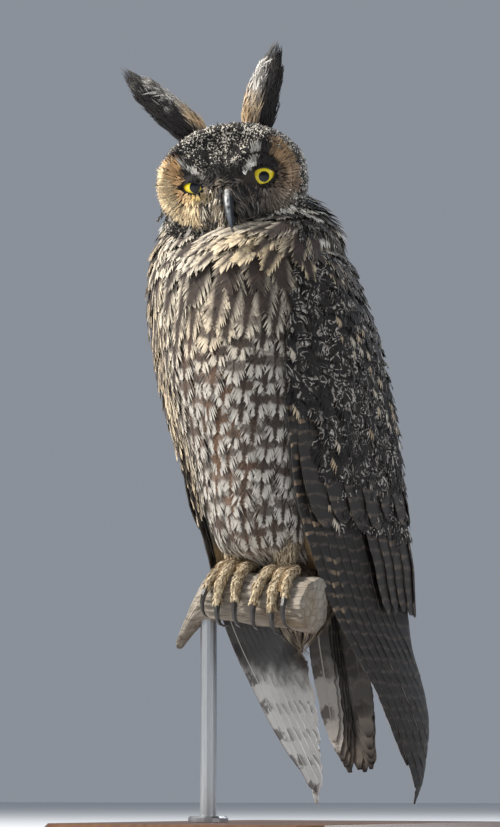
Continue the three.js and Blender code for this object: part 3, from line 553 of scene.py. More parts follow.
fused_places = places_of(fused)
on_head = ease(fused_places[:, 2], 322, 332)
on_feet = ease(fused_places[:, 2], 158, 150) * ease(fused_places[:, 1], 44, 36)
# The body's skin is a fifth as bright as the feathers over it: painted shade for the gaps between them.
skin_tones = washed(0.2 * body_tones(fused_places), on_head, (52, 42, 36))
skin_tones = washed(skin_tones, on_feet, (150, 122, 84))
give_tones(fused, np.column_stack([skin_tones, np.ones(len(skin_tones))]))
skin_finish = Finish("skin_paint", 0.85)
skin_tone = skin_finish.add("ShaderNodeAttribute", attribute_name="tone")
skin_down = skin_finish.noise(skin_finish.place(), 900.0, 3.0)
skin_colour = skin_finish.blend(skin_down, skin_tone, (0.02, 0.016, 0.013, 1.0))
skin_finish.colour(skin_colour)
skin_finish.bump(skin_down, 0.0006)
fused.materials.clear()
fused.materials.append(skin_finish.material)
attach(skin, "root")
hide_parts("head", "neck", "torso", "leg_left", "leg_right", "foot_left", "foot_right")


# Breast, belly and mantle feathers
# Soft feathers in staggered rows hang over each other like shingles from the throat to the legs and over the
# shoulders. Each is built of barb clumps that leave its shaft on both sides, pale, with dark marks.
class Surface:
    """A surface kept as rows of places, read in straight steps between them and straight on past its ends.
    s runs across it, or round it if it is closed, and t down it, both from 0 to 1."""

    def __init__(self, places, closed=False):
        self.closed = closed
        if closed:
            places = np.concatenate([places, places[:, :1]], axis=1)
        self.places = places
        self.down = np.gradient(places, axis=0) * (len(places) - 1)
        self.over = np.gradient(places, axis=1) * (places.shape[1] - 1)
        if closed:
            seam = (places[:, 1] - places[:, -2]) / 2 * (places.shape[1] - 1)
            self.over[:, 0] = self.over[:, -1] = seam
        self.normals = unit(np.cross(self.down, self.over))

    def read(self, field, s, t, onward=True):
        rows, columns = field.shape[:2]
        row = t * (rows - 1)
        column = (s % 1.0 if self.closed else s) * (columns - 1)
        i = np.clip(np.floor(row).astype(int), 0, rows - 2)
        j = np.clip(np.floor(column).astype(int), 0, columns - 2)
        a, b = (row - i)[..., None], (column - j)[..., None]
        if not onward:
            a, b = np.clip(a, 0, 1), np.clip(b, 0, 1)
        near = field[i, j] + (field[i, j + 1] - field[i, j]) * b
        far = field[i + 1, j] + (field[i + 1, j + 1] - field[i + 1, j]) * b
        return near + (far - near) * a

    def at(self, s, t):
        return self.read(self.places, s, t)

    def out(self, s, t):
        return unit(self.read(self.normals, s, t, onward=False))

    def walk(self, s, t, flow, across, along):
        """Places reached from each root, and where they lie in s and t: a way along the flow, laid into the
        surface, and a way across it to the flow's own right, both in millimetres."""
        over, down = self.read(self.over, s, t, False), self.read(self.down, s, t, False)
        out = self.out(s, t)
        ahead = unit(flow - out * np.sum(flow * out, -1, keepdims=True))
        right = np.cross(out, ahead)
        oo, dd, od = (np.sum(p * q, -1) for p, q in ((over, over), (down, down), (over, down)))
        size = np.maximum(oo * dd - od * od, 1e-6)

        def shares(way):
            o, d = np.sum(over * way, -1), np.sum(down * way, -1)
            return (dd * o - od * d) / size, (oo * d - od * o) / size

        (ahead_s, ahead_t), (right_s, right_t) = shares(ahead), shares(right)
        column = (slice(None),) + (None,) * (across.ndim - 1)
        new_s = s[column] + ahead_s[column] * along + right_s[column] * across
        new_t = t[column] + ahead_t[column] * along + right_t[column] * across
        return self.at(new_s, new_t), self.out(new_s, new_t), new_s, new_t


def blades(centre_across, centre_along, half, height, roll, thick):
    """Thin three-sided blades along centre lines that end in a point, rolled a little to one side. The
    arrays hold feather, blade and station; the result holds feather, blade and vertex: a left, a right and
    an under one at each station, then the tip."""
    run_across = np.gradient(centre_across, axis=-1)
    run_along = np.gradient(centre_along, axis=-1)
    size = np.hypot(run_across, run_along) + 1e-6
    side_across, side_along = half * run_along / size, -half * run_across / size
    left = joined(centre_across - side_across, centre_along - side_along, height - roll * half)
    right = joined(centre_across + side_across, centre_along + side_along, height + roll * half)
    under = joined(centre_across, centre_along, height - thick)
    rings = np.stack([left, right, under], -2)[..., :-1, :, :]
    tips = joined(centre_across[..., -1], centre_along[..., -1], height[..., -1] - thick / 2)[..., None, :]
    return np.concatenate([rings.reshape(rings.shape[:-3] + (-1, 3)), tips], axis=-2)


def blade_faces(stations, count):
    """Faces of that many blades, each with that many stations before its tip."""
    ring = 3 * np.arange(stations - 1)[:, None]
    walls = np.concatenate([ring + [0, 3, 4, 1], ring + [0, 2, 5, 3], ring + [1, 4, 5, 2]])
    end, tip = 3 * (stations - 1), 3 * stations
    caps = np.array([[0, 1, 2], [end, tip, end + 1], [end, end + 2, tip], [end + 2, end + 1, tip]])
    starts = (np.arange(count) * (tip + 1))[:, None, None]
    return [(starts + walls).reshape(-1, 4), (starts + caps).reshape(-1, 3)]


def give_uv(mesh, name, uv):
    """A layer of flat coordinates, from a pair of numbers for each of the mesh's places."""
    corners = np.empty(len(mesh.loops), np.int32)
    mesh.loops.foreach_get("vertex_index", corners)
    mesh.uv_layers.new(name=name).data.foreach_set("uv", uv[corners].astype(np.float32).ravel())


class Coat:
    """Feathers gathered for one piece: their places, faces, vane and bake coordinates, tones and marks."""

    def __init__(self):
        self.shells, self.smooth, self.vane, self.bake, self.tones, self.marks = [], [], [], [], [], []

    def add(self, places, faces, smooth, vane, bake, tones, marks):
        self.shells.append((places.reshape(-1, 3), faces))
        self.smooth += smooth
        for store, value in ((self.vane, vane), (self.bake, bake), (self.tones, tones), (self.marks, marks)):
            store.append(value.reshape(-1, value.shape[-1]))

    def add_rod(self, rings, colour):
        """A plain closed rod of one colour, on which feathers stand."""
        places, faces = shell(rings)
        blank = np.zeros((len(places), 4))
        flat, tone = blank[:, :2] + 0.005, blank + np.append(tone_of(colour), 0.5)
        self.add(places, faces, [True, True], flat, flat, tone, blank[:, :3])

    def piece(self, name, finish, slot, replaced=(), mirror=False):
        """The gathered feathers as one object, on the bird's other side if it is mirrored."""
        places, faces = together(self.shells)
        if mirror:
            places = places * (-1, 1, 1)
            faces = [f[:, ::-1] for f in faces]
        mesh = mesh_of(name, places, faces, self.smooth)
        give_uv(mesh, "vane", np.concatenate(self.vane))
        give_uv(mesh, "OFBake", np.concatenate(self.bake))
        give_tones(mesh, np.concatenate(self.tones))
        marks = mesh.attributes.new("mark", "FLOAT_VECTOR", "POINT")
        marks.data.foreach_set("vector", np.concatenate(self.marks).astype(np.float32).ravel())
        piece = made_object(name, mesh, finish)
        if replaced:
            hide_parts(*replaced)
        return piece


def spread(value, like):
    """A value for each feather, ready to meet the arrays that hold feather, blade and station."""
    return np.broadcast_to(np.asarray(value, float), like.shape[:1]).reshape((-1,) + (1,) * (like.ndim - 1))


def only(keep, *fields):
    """Those of each array's items that are kept."""
    return [field[keep] for field in fields]


def barb_lines(random, count, pairs, length, width, first, last, sweep, full, loose, steps):
    """Centre lines of the barb clumps of soft feathers. They leave the shaft in pairs, from the first share
    of its length to the last, and curve out and forward to the feather's rounded outline, some longer, some
    shorter."""
    place = np.tile(np.linspace(0, 1, pairs), 2) + np.repeat([0.0, 0.5 / pairs], pairs)
    sides = np.repeat([-1.0, 1.0], pairs)
    start = first + (last - first) * place
    end = np.minimum(start + sweep * (1 - 0.3 * place), 1.0)
    round_end = np.sqrt(np.maximum(1 - ((end - full) / (1.04 - full)) ** 2, 0.03))
    outline = np.where(end < full, 0.55 + 0.45 * ease(end, 0, full), round_end)
    q = np.linspace(0, 1, steps + 1)
    reach = sides * outline * (1 + loose * random.normal(size=(count, 2 * pairs)))
    end = end + 0.5 * loose * random.normal(size=(count, 2 * pairs))
    like = np.empty((count, 1, 1))
    across = (reach[..., None] * q**0.85) * spread(width, like) / 2
    along = (start[:, None] + (end[..., None] - start[:, None]) * q**1.15) * spread(length, like)
    return across, along


def set_feathers(
    coat, surface, s, t, flow, length, width, sunk, proud, random, tones, marks,
    pairs=10, half=0.8, first=0.12, last=0.86, sweep=0.3, full=0.58, loose=0.06, steps=3,
    camber=0.35, ruffle=0.25, bristle=0.08, roll=0.12, jitter=0.06, thick=0.12,
):
    """Soft feathers from roots on a surface, lying along the flow. Their height runs from sunk at the root
    to proud at the tip, less the camber at both edges. Tones and marks are given for each feather."""
    count = len(s)
    flow = np.asarray(flow, float)
    across, along = barb_lines(random, count, pairs, length, width, first, last, sweep, full, loose, steps)
    u = across / spread(width, across) * 2
    v = along / spread(length, along)
    lift = spread(ruffle * random.normal(size=count), u)
    lift = lift + bristle * random.normal(size=u.shape[:2])[..., None]
    height = spread(sunk, u) + (spread(proud, u) - spread(sunk, u)) * v**0.85 + lift * v - camber * u**2
    thin = np.array([0.7] + [1.0] * (steps - 2) + [0.72, 0.1])
    rolled = roll * random.normal(size=u.shape[:2])[..., None]
    made = blades(across, along, half * thin * np.ones_like(u), height, rolled, thick)
    places, out, new_s, new_t = surface.walk(s, t, flow, made[..., 0], made[..., 1])
    places = places + out * made[..., 2:3]
    middle = 3 * (steps // 2) + 2
    root_s, root_t = new_s[..., middle], new_t[..., middle]
    root = joined(root_s % 1.0 if surface.closed else root_s, root_t)
    station = np.append(np.repeat(np.arange(steps), 3), steps) / steps * 2 - 1
    patch = joined(np.append(np.tile([-1, 1, 0], steps), 0), station)
    bake = 0.01 + 0.98 * np.clip(root, 0, 1)[..., None, :] + 0.0015 * patch
    aside, ahead = made[..., 0], made[..., 1]
    vane = joined(aside / spread(width, aside) + 0.5, ahead / spread(length, ahead))
    shade = 1 + jitter * random.normal(size=made.shape[:2])
    whole = made.shape[:3] + (1,)
    toned = np.clip(tones[:, None, None, :] * shade[..., None, None], 0, 1) * np.ones(whole)
    chance = random.random(count)[:, None, None, None] * np.ones(whole)
    marked = np.broadcast_to(marks, (count, 3))[:, None, None, :] * np.ones(whole)
    faces = blade_faces(steps, count * 2 * pairs)
    coat.add(places, faces, [False, False], vane, bake, np.concatenate([toned, chance], -1), marked)


def staggered(surface, spacing_along, spacing_across, random, loose=0.18, s_range=(0, 1), t_range=(0, 1)):
    """Roots in staggered rows over a surface: rows an even way apart where it is longest, and roots an even
    way apart along each row, all a little off their places."""
    t_fine = np.linspace(*t_range, 400)
    s_some = np.linspace(*s_range, 13)
    steps = np.diff(surface.at(s_some[None, :], t_fine[:, None]), axis=0)
    steps = np.linalg.norm(steps, axis=-1).max(axis=1)
    run = np.concatenate([[0], np.cumsum(steps)])
    found = []
    for number, way in enumerate(np.arange(0, run[-1], spacing_along)):
        t_row = np.interp(way, run, t_fine)
        s_fine = np.linspace(*s_range, 400)
        line = surface.at(s_fine, np.full(400, t_row))
        length = np.concatenate([[0], np.cumsum(np.linalg.norm(np.diff(line, axis=0), axis=1))])
        marks = np.arange((0.25 + 0.5 * (number % 2)) * spacing_across, length[-1], spacing_across)
        marks = marks + loose * spacing_across * random.normal(size=len(marks))
        off = loose * spacing_along / run[-1] * (t_range[1] - t_range[0]) * random.normal(size=len(marks))
        found.append(joined(np.interp(marks, length, s_fine), t_row + off))
    return np.concatenate(found).T


def vane_marks(finish):
    """What a feather's finish reads: its share from front edge to rear one, how far that is from the shaft,
    how far along it, its tone, its chance and its three marks."""
    aside, along, _ = finish.parts(finish.add("ShaderNodeUVMap", uv_map="vane"))
    from_shaft = finish.sum("ABSOLUTE", finish.scaled(aside, 2.0, -1.0))
    tone = finish.add("ShaderNodeAttribute", attribute_name="tone")
    mark = finish.parts(finish.add("ShaderNodeAttribute", output="Vector", attribute_name="mark"))
    return aside, from_shaft, along, tone, tone.node.outputs["Alpha"], mark


random = np.random.default_rng(11)


def beside_face(turns):
    """0 in front of the face, 1 beside and behind it, for turns round the bird's upright middle."""
    away = np.abs(np.angle(np.exp(1j * (turns + math.radians(90 - HEAD_TURN)))))
    return ease(np.degrees(away), 48, 76)


def reach_at(turns, line, middle, **ends):
    """How far out a level line of places round the middle lies at each turn."""
    angle = np.arctan2(line[:, 1] - middle, line[:, 0])
    order = np.argsort(angle)
    away = np.hypot(line[:, 0], line[:, 1] - middle)
    return np.interp(turns, angle[order], away[order], **ends)


def coat_places(heights, columns):
    """Body, folded wings and the head's sides and back as one closed outline: at each height and turn round
    the middle, the outermost of them, eased into each other, and straight from head to shoulders over the
    neck."""
    rows, middles = [], []
    turns = np.linspace(-math.pi, math.pi, columns, endpoint=False)
    skull = head_places(round_turns(400)[None, :], np.linspace(0.30, 0.99, 300)[:, None]).reshape(-1, 3)
    beside = beside_face(turns)
    for height in heights:
        on_body = min(height, 341.0)
        middle = smooth_through(BODY[:, 0], BODY[:, 2:].mean(axis=1), np.array([on_body]))[0]
        ring = body_places(round_turns(360), np.full(360, on_body))
        reach = reach_at(turns, ring, middle, period=2 * math.pi)
        if height < WING_TOP:
            line = wing_grid(np.array([height]), 120)[0]
            for side in (turns, np.angle(-np.exp(-1j * turns))):
                reach = np.maximum(reach, reach_at(side, line, middle, left=0, right=0))
        level = skull[np.abs(skull[:, 2] - height) < 0.8]
        if len(level):
            reach = np.maximum(reach, beside * reach_at(turns, level, middle, period=2 * math.pi))
        rows.append(reach)
        middles.append(middle)
    rows = np.array(rows)
    top, low = np.argmin(np.abs(heights - 345)), np.argmin(np.abs(heights - 305))
    share = np.clip((heights[top] - heights) / (heights[top] - heights[low]), 0, 1)[:, None]
    straight = rows[top] + (rows[low] - rows[top]) * share
    neck = (heights[:, None] < heights[top]) & (heights[:, None] > heights[low])
    rows = np.where(neck, np.maximum(rows, rows + (straight - rows) * beside), rows)
    near = np.exp(-((np.arange(-8, 9) / 4.0) ** 2))
    wrapped = np.concatenate([rows[:, -8:], rows, rows[:, :8]], axis=1)
    rows = np.array([np.convolve(row, near / near.sum(), "valid") for row in wrapped])
    x, y = rows * np.cos(turns), np.array(middles)[:, None] + rows * np.sin(turns)
    return joined(x, y, heights[:, None])


body_rows = body_places(round_turns(240)[None, :], np.linspace(342, 106, 260)[:, None])
body_surface = Surface(body_rows, closed=True)
breast_s, breast_t = staggered(
    body_surface, 11.0, 12.4, random, loose=0.12, s_range=(0.5, 1.0), t_range=(0.10, 0.93)
)
breast_t = np.maximum(breast_t - 0.22 * body_surface.at(breast_s, breast_t)[:, 0] / 236, 0.07)
breast_at = body_surface.at(breast_s, breast_t)
wing_front = np.interp(breast_at[:, 2], WING[:, 0], WING[:, 2])
in_front = (breast_at[:, 1] < np.maximum(wing_front, -40) + 16) & (breast_at[:, 2] > 127)
breast_s, breast_t, breast_at = only(in_front, breast_s, breast_t, breast_at)
upper = ease(breast_at[:, 2], 276, 304)
flank = bell(breast_at[:, 0] + 42, 13) * ease(breast_at[:, 2], 130, 170)
breast_flow = joined(-0.14 - 0.20 * upper, 0.0, -1.0)
breast_flow = breast_flow + 0.02 * random.normal(size=breast_flow.shape)
breast_length = 33 + 1.5 * upper + random.normal(size=len(breast_s))
breast_width = 15.8 - 0.4 * upper - 3.0 * flank + 0.7 * random.normal(size=len(breast_s))
streak = 0.09 + 0.20 * upper + 0.20 * flank + 0.05 * random.normal(size=len(breast_s))
streak = streak + 0.3 * bell(np.hypot((breast_at[:, 0] - 26) / 1.6, breast_at[:, 2] - 306), 9)
bars = np.clip(1 - 0.9 * upper - 0.8 * flank, 0, 1) * (0.75 + 0.25 * random.random(len(breast_s)))
rust = bell(breast_at[:, 0] - 2, 17) * ease(breast_at[:, 2], 300, 240) * ease(breast_at[:, 2], 150, 180)
rust = np.clip(rust * (0.2 + 0.8 * random.random(len(breast_s))), 0, 1)
soft_finish = Finish("breast_feathers", 0.8)
_, from_shaft, along_vane, breast_tone, breast_chance, breast_mark = vane_marks(soft_finish)
fray = soft_finish.noise(soft_finish.place(), 620.0, 3.0)
mottle = soft_finish.noise(soft_finish.place(), 190.0, 3.0)
frayed_u = soft_finish.sum("ADD", from_shaft, soft_finish.scaled(fray, 0.5, -0.25))
frayed_v = soft_finish.sum("ADD", along_vane, soft_finish.scaled(fray, 0.12, -0.06))
frayed_v = soft_finish.scaled(mottle, 0.06, soft_finish.sum("SUBTRACT", frayed_v, 0.03))
frayed_v = soft_finish.scaled(from_shaft, 0.06, frayed_v)
# The streak widens up the feather from its tip, with soft edges where it has no bars. Two bars cross it.
widening = soft_finish.sum("ADD", breast_mark[0], soft_finish.scaled(along_vane, -0.36, 0.36))
soft_edge = soft_finish.scaled(breast_mark[1], -0.20, 0.26)
shaft_away = soft_finish.sum("DIVIDE", soft_finish.sum("SUBTRACT", frayed_u, widening), soft_edge)
shaft_dark = soft_finish.step(shaft_away, 1.0, -1.0)
bar_shift = soft_finish.scaled(breast_chance, 0.07, -0.035)
bars_dark = []
for bar_at in (0.36, 0.71):
    away = soft_finish.sum("SUBTRACT", soft_finish.sum("SUBTRACT", frayed_v, bar_shift), bar_at)
    bars_dark.append(soft_finish.step(soft_finish.sum("ABSOLUTE", away), 0.105, 0.045))
bar_dark = soft_finish.sum("MAXIMUM", *bars_dark)
tip_dark = soft_finish.times(soft_finish.step(frayed_v, 0.96, 1.0), 0.8)
bar_dark = soft_finish.times(soft_finish.sum("MAXIMUM", bar_dark, tip_dark), breast_mark[1])
marking = soft_finish.sum("MAXIMUM", shaft_dark, bar_dark)
dark_colour = soft_finish.blend(mottle, paint(24, 19, 17), paint(64, 50, 41))
rusty = soft_finish.times(breast_mark[2], soft_finish.step(mottle, 0.30, 0.55))
dark_colour = soft_finish.blend(soft_finish.times(rusty, 0.75), dark_colour, paint(112, 80, 54))
# The upper part of each pale spot is smoked with grey.
smoke = soft_finish.times(soft_finish.step(frayed_v, 0.95, 0.72), soft_finish.step(fray, 0.36, 0.62))
pale_colour = soft_finish.blend(soft_finish.times(smoke, 0.75), breast_tone, paint(104, 94, 86))
breast_colour = soft_finish.blend(marking, pale_colour, dark_colour)
soft_finish.colour(breast_colour)
soft_finish.shader.inputs["Sheen Weight"].default_value = 0.1
breast_coat = Coat()
set_feathers(
    breast_coat, body_surface, breast_s, breast_t, breast_flow, breast_length, breast_width, -3.6,
    0.9 + 0.8 * upper, random, tip_tones(breast_at, breast_flow, 33), joined(streak, bars, rust),
    pairs=16, sweep=0.36, loose=0.07, ruffle=0.4,
)
breast_coat.piece("breast_feathers", soft_finish, "breast_plumage")

# Over throat, neck and shoulders the feathers are longer and narrower, and lie over the wings' upper edges.
# On the right flank they cover the wing's front edge.
mantle_surface = Surface(coat_places(np.linspace(352, 175, 220), 300), closed=True)
mantle_s, mantle_t = staggered(mantle_surface, 7.5, 8.6, random, t_range=(0.06, 0.99))
mantle_at = mantle_surface.at(mantle_s, mantle_t)
m_x, m_y, m_z = mantle_at.T
behind = ease(m_y, -30, 10)
on_flank = (m_x < -26) & (m_y < 2 + 0.30 * (300 - m_z)) & (m_y < 22) & (m_z > 190)
beside = beside_face(np.arctan2(m_y + 18, m_x))
keep = (m_z > 309 - 33 * ease(m_y, 10, 45)) & (m_z < 318 + 14 * beside + 8 * ease(m_x, 0, 15)) | on_flank
mantle_s, mantle_t, mantle_at, behind = only(keep, mantle_s, mantle_t, mantle_at, behind)
m_x, m_y, m_z = mantle_at.T
pale_flank = ease(m_x, -24, -34) * ease(m_y, 30, 10)
behind = behind * (1 - pale_flank)
mantle_flow_x = -(0.22 + 0.012 * m_x) * (1 - behind) * (1 - pale_flank)
mantle_flow = joined(mantle_flow_x, 0.3 * behind + 0.1 * pale_flank, -1.0)
mantle_flow = mantle_flow + 0.05 * random.normal(size=mantle_flow.shape)
fold = bell(np.hypot((m_x - 40) / 2.2, m_z - 318), 9) * (1 - behind)
left_throat = ease(m_x, 30, 42) * ease(m_z, 304, 314)
mantle_length = 26 + 1.2 * random.normal(size=len(behind))
mantle_streak = 0.16 + 0.46 * np.maximum(behind, left_throat) + 0.10 * pale_flank - 0.30 * fold
mantle_streak = mantle_streak + 0.07 * random.normal(size=len(behind))
mantle_tone = washed(tip_tones(mantle_at, mantle_flow, mantle_length), 0.9 * pale_flank, (194, 176, 146))
mantle_width = 11.0 - 0.5 * pale_flank + 0.5 * random.normal(size=len(behind))
mantle_proud = 1.6 + 0.2 * pale_flank + 4.0 * fold
mantle_coat = Coat()
set_feathers(
    mantle_coat, mantle_surface, mantle_s, mantle_t, mantle_flow, mantle_length, mantle_width, -3.4,
    mantle_proud, random, mantle_tone, joined(mantle_streak, 0.3 * behind, 0.0),
    half=0.95, sweep=0.42, loose=0.08, ruffle=0.4, bristle=0.05, roll=0.08,
)
mantle_coat.piece("mantle_feathers", soft_finish, "breast_plumage")

# Longer grey-buff feathers hang from the legs and the vent, behind the perch.
vent_s, vent_t = staggered(body_surface, 7.0, 8.0, random, t_range=(0.74, 0.96))
vent_at = body_surface.at(vent_s, vent_t)
at_vent = (vent_at[:, 1] > 26) & (vent_at[:, 2] > 114)
vent_s, vent_t, vent_at = only(at_vent, vent_s, vent_t, vent_at)
vent_tone = washed(body_tones(vent_at), 0.8 + 0 * vent_s, (172, 158, 138))
vent_coat = Coat()
set_feathers(
    vent_coat, body_surface, vent_s, vent_t, (0.0, 0.25, -1.0), 24 + 2 * random.normal(size=len(vent_s)), 9.0,
    -3.0, 2.5, random, vent_tone, (0.05, 0.5, 0.0), pairs=9, half=0.7, sweep=0.5, loose=0.15, ruffle=0.9,
)
vent_coat.piece("vent_feathers", soft_finish, "leg_plumage")


# Head
# The face is two dished discs of stiff fine filaments round the eyes, with pale brows and bristles by the
# bill, a speckled forehead and a speckled ruff below. Short feathers lie back over the crown and down the
# nape.
def skull_course(t):
    """Reach and depth along the head's outline, from the middle of the face at 0 to the back at 1."""
    reach, depth = skull_line(t)
    return reach, np.where(t < 0.5, 7 * reach**2 - 27, depth)


class Dome(Surface):
    """The head's surface. A feather is laid out flat from its root and then drawn in towards the head's
    middle."""

    def walk(self, s, t, flow, across, along):
        out = self.out(s, t)
        ahead = unit(flow - out * np.sum(flow * out, -1, keepdims=True))
        right = np.cross(out, ahead)
        start = self.at(s, t)
        column = (slice(None),) + (None,) * (across.ndim - 1)
        flat = start[column] + ahead[column] * along[..., None] + right[column] * across[..., None]
        x, y, z = np.moveaxis(to_head(flat), -1, 0)
        x, z = x / HEAD_HALF, z / np.where(z > 0, HEAD_TOP, HEAD_BOTTOM)
        fine = np.linspace(0, 1, 400)
        reach, depth = skull_course(fine)
        polar = np.maximum.accumulate(np.arctan2(reach * 35, 4 - depth))
        new_s = np.arctan2(signed_power(z, 1.125), signed_power(x, 1.125)) / (2 * math.pi) % 1.0
        new_t = np.interp(np.arctan2(np.hypot(x, z) * 35, 4 - y), polar, fine)
        return self.at(new_s, new_t), self.out(new_s, new_t), new_s, new_t


def head_out(x, z):
    return np.hypot(x / HEAD_HALF, z / np.where(z > 0, HEAD_TOP, HEAD_BOTTOM))


RUFF_AT = np.array([  # the discs' lower edge, from the bird's right to its left
    [-38, -12], [-30, -18], [-24, -20], [-14, -24.5], [-3, -29], [3, -28.5], [8, -26], [12, -22], [18, -19.5],
    [33, -17], [38, -14.0],
])
BROWS = [  # where each begins and ends, its half width at both ends, and how pale it is
    (8.5, -1.5, 17.0, 13.2, 1.1, 2.7, 0.9),
    (-15.6, 6.4, -21.8, 11.8, 1.3, 2.3, 0.9),
    (-7.5, -2.0, -15.2, 6.0, 0.4, 0.6, 0.2),
]


def under_ruff(x, z):
    """How far below the discs' lower edge a place on the face is. The edge runs down to the bill's tip from
    both sides."""
    return np.interp(x, RUFF_AT[:, 0], RUFF_AT[:, 1]) - z


def face_tones(x, z, chance):
    """The tones of the face. The right disc is orange to cream, and the left one a brown-grey copy of it,
    darker as painted shade; bristles by the bill are mixed grey, darker on the left as painted shade, brows
    that rise from it are grey-white, and all between and above is black."""
    tones = np.broadcast_to(tone_of((24, 20, 19)), x.shape + (3,))
    bristle_right = ease(z, 2, -5) * ease(x, 2, -2) * ease(x, -24, -18)
    tones = washed(tones, 0.9 * bristle_right * ease(chance, 0.34, 0.44), (128, 114, 94))
    tones = washed(tones, 0.9 * bristle_right * ease(chance, 0.76, 0.84), (216, 206, 188))
    # The left bristles' darker greys are painted shade.
    bristle_left = ease(z, 2, -5) * ease(x, -2, 2) * ease(x, 24, 18)
    tones = washed(tones, 0.9 * bristle_left * ease(chance, 0.30, 0.50), (90, 82, 76))
    tones = washed(tones, 0.9 * bristle_left * ease(chance, 0.84, 0.92), (128, 120, 112))
    low = ease(z, -3, -10)
    disc_right = ease(x, -23.5 + 7 * low, -26 + 6 * low) * ease(z, 16.5, 13.5)
    cream = 0.9 * ease(z, -2, -14) + ease(x, -29.5, -33.5)
    tones = passing(tones, disc_right, washed(tone_of((204, 162, 114)), cream, (224, 200, 160)))
    inner = 21 + 5.5 * ease(z, -9, -3) - 3 * ease(z, 6, 14)
    disc_left = ease(x, inner, inner + 3.5) * ease(z, 19.5, 16.5)
    disc_left = np.maximum(disc_left, 0.8 * ease(x, 15, 20) * ease(z, -8, -11))
    # The left disc's brown-grey is painted shade: a darkened copy of the right disc's orange.
    shaded_disc_brown = washed(tone_of((108, 90, 74)), ease(z, -5, -14), (104, 94, 84))
    shaded_disc_brown = washed(shaded_disc_brown, bell(np.hypot(x - 32, z - 12), 8), (150, 122, 90))
    tones = passing(tones, disc_left, shaded_disc_brown)
    tones = washed(tones, 0.8 * bell(z + 7.4, 1.3) * bell(x + 19, 5), (196, 166, 96))
    for from_x, from_z, to_x, to_z, narrow, wide, pale in BROWS:
        run = np.array([to_x - from_x, to_z - from_z])
        share = np.clip(((x - from_x) * run[0] + (z - from_z) * run[1]) / np.sum(run**2), 0, 1)
        away = np.hypot(x - from_x - share * run[0], z - from_z - share * run[1])
        away = away / (narrow + (wide - narrow) * share)
        seen = pale * ease(away, 1.25, 0.6) * (0.5 + 0.5 * ease(chance, 0.1, 0.4))
        tones = washed(tones, seen, (206, 202, 194))
    below = under_ruff(x, z)
    tones = washed(tones, ease(below, -0.6, 0.8), (30, 26, 25))
    return washed(tones, 0.9 * bell(np.hypot((x - 2.5) / 1.4, z + 30.5), 3.4), (206, 198, 178))


def face_specks(x, z):
    """How densely the face is speckled with white: forehead and crown most, and the ruff below the discs."""
    left_edge, right_edge = 6.8 + 0.58 * (z + 3), -17.5 - 0.3 * z
    forehead = ease(z, -4, 10) * ease(x, left_edge + 2.5, left_edge) * ease(x, right_edge, right_edge + 3)
    crown = ease(z, 13, 17) * ease(np.abs(x), 27, 22)
    ruff = ease(under_ruff(x, z), 0.0, 1.5)
    return np.clip(np.maximum(np.maximum(forehead * ease(z, -3, 9), crown), 0.95 * ruff), 0, 1)


def lidded_face(x, z):
    """How far the feathers' ground stands forward: the face, raised over the lids by a ball round each eye
    and by a mound of bristles on each side of the bill."""
    away = np.hypot(np.abs(x) - EYE_SIDE, z - EYE_HEIGHT)
    ball = EYE_DEPTH + np.sqrt(np.maximum(10.5**2 - away**2, 0))
    face = face_forward(x, z) + 5.2 * bell(np.abs(x) - 4.6, 3.2) * bell(z + 14, 10)
    return face + np.maximum(ball - face, 0) * ease(away, 10.0, 6.5)


FACE_SIDE, FACE_TOP, FACE_BOTTOM = 36, 27, -33


def face_shares(x, z):
    """Where a place on the face lies on its surface, in s and t."""
    return (x + FACE_SIDE) / (2 * FACE_SIDE), (FACE_TOP - z) / (FACE_TOP - FACE_BOTTOM)


face_x = np.linspace(-FACE_SIDE, FACE_SIDE, 180)[None, :]
face_z = np.linspace(FACE_TOP, FACE_BOTTOM, 170)[:, None]
face_surface = Surface(from_head(joined(face_x, -lidded_face(face_x, face_z), face_z)))
head_rows = head_places(round_turns(240)[None, :], np.linspace(0.02, 0.995, 220)[:, None])
head_surface = Dome(head_rows, closed=True)
LIDS = {  # side, the opening's width, height and tilt, how far the eye is turned out, how far it is off it
    "left": (1, 13.2, 8.2, 7.0, -7.0, 0.0, -0.3),
    "right": (-1, 10.2, 5.2, 12.0, 0.0, -1.5, -0.8),
}


def opening_away(x, z):
    """How far a place on the face is from the middle of the nearer eye's opening, 1 on its edge."""
    found = []
    for side, width, height, tilt, _, aside, above in LIDS.values():
        dx, dz = x - side * EYE_SIDE - aside, z - EYE_HEIGHT - above
        lean = math.radians(tilt) * side
        along, over = dx * math.cos(lean) + dz * math.sin(lean), dz * math.cos(lean) - dx * math.sin(lean)
        found.append(np.hypot(along / (width / 2), over / (height / 2)))
    return np.where(x > 0, found[0], found[1])


FACE_STEP = 1.25
face_xx, face_zz = np.meshgrid(np.arange(-36, 36, FACE_STEP), np.arange(-32, 27, FACE_STEP))
face_xx = (face_xx + random.uniform(-0.5, 0.5, face_xx.shape) * FACE_STEP).ravel()
face_zz = (face_zz + random.uniform(-0.5, 0.5, face_zz.shape) * FACE_STEP).ravel()
on_face = (head_out(face_xx, face_zz) < 0.89) & (opening_away(face_xx, face_zz) > 1.14)
on_face &= ~((np.abs(face_xx) < 1.5) & (face_zz < -7) & (face_zz > -27))
face_xx, face_zz = only(on_face, face_xx, face_zz)
from_eye = joined(np.abs(face_xx) - EYE_SIDE, face_zz - EYE_HEIGHT)
eye_away = np.linalg.norm(from_eye, axis=-1)
from_eye = from_eye / eye_away[:, None]
upward = ease(np.abs(face_xx), 15, 9) * ease(face_zz, -3, 3)
lore = ease(np.abs(face_xx), 15, 10) * ease(face_zz, 0, -5)
flow_x = np.sign(face_xx) * (from_eye[:, 0] * (1 - upward - lore) + 0.35 * upward + 0.42 * lore)
flow_z = from_eye[:, 1] * (1 - upward - lore) + upward - lore
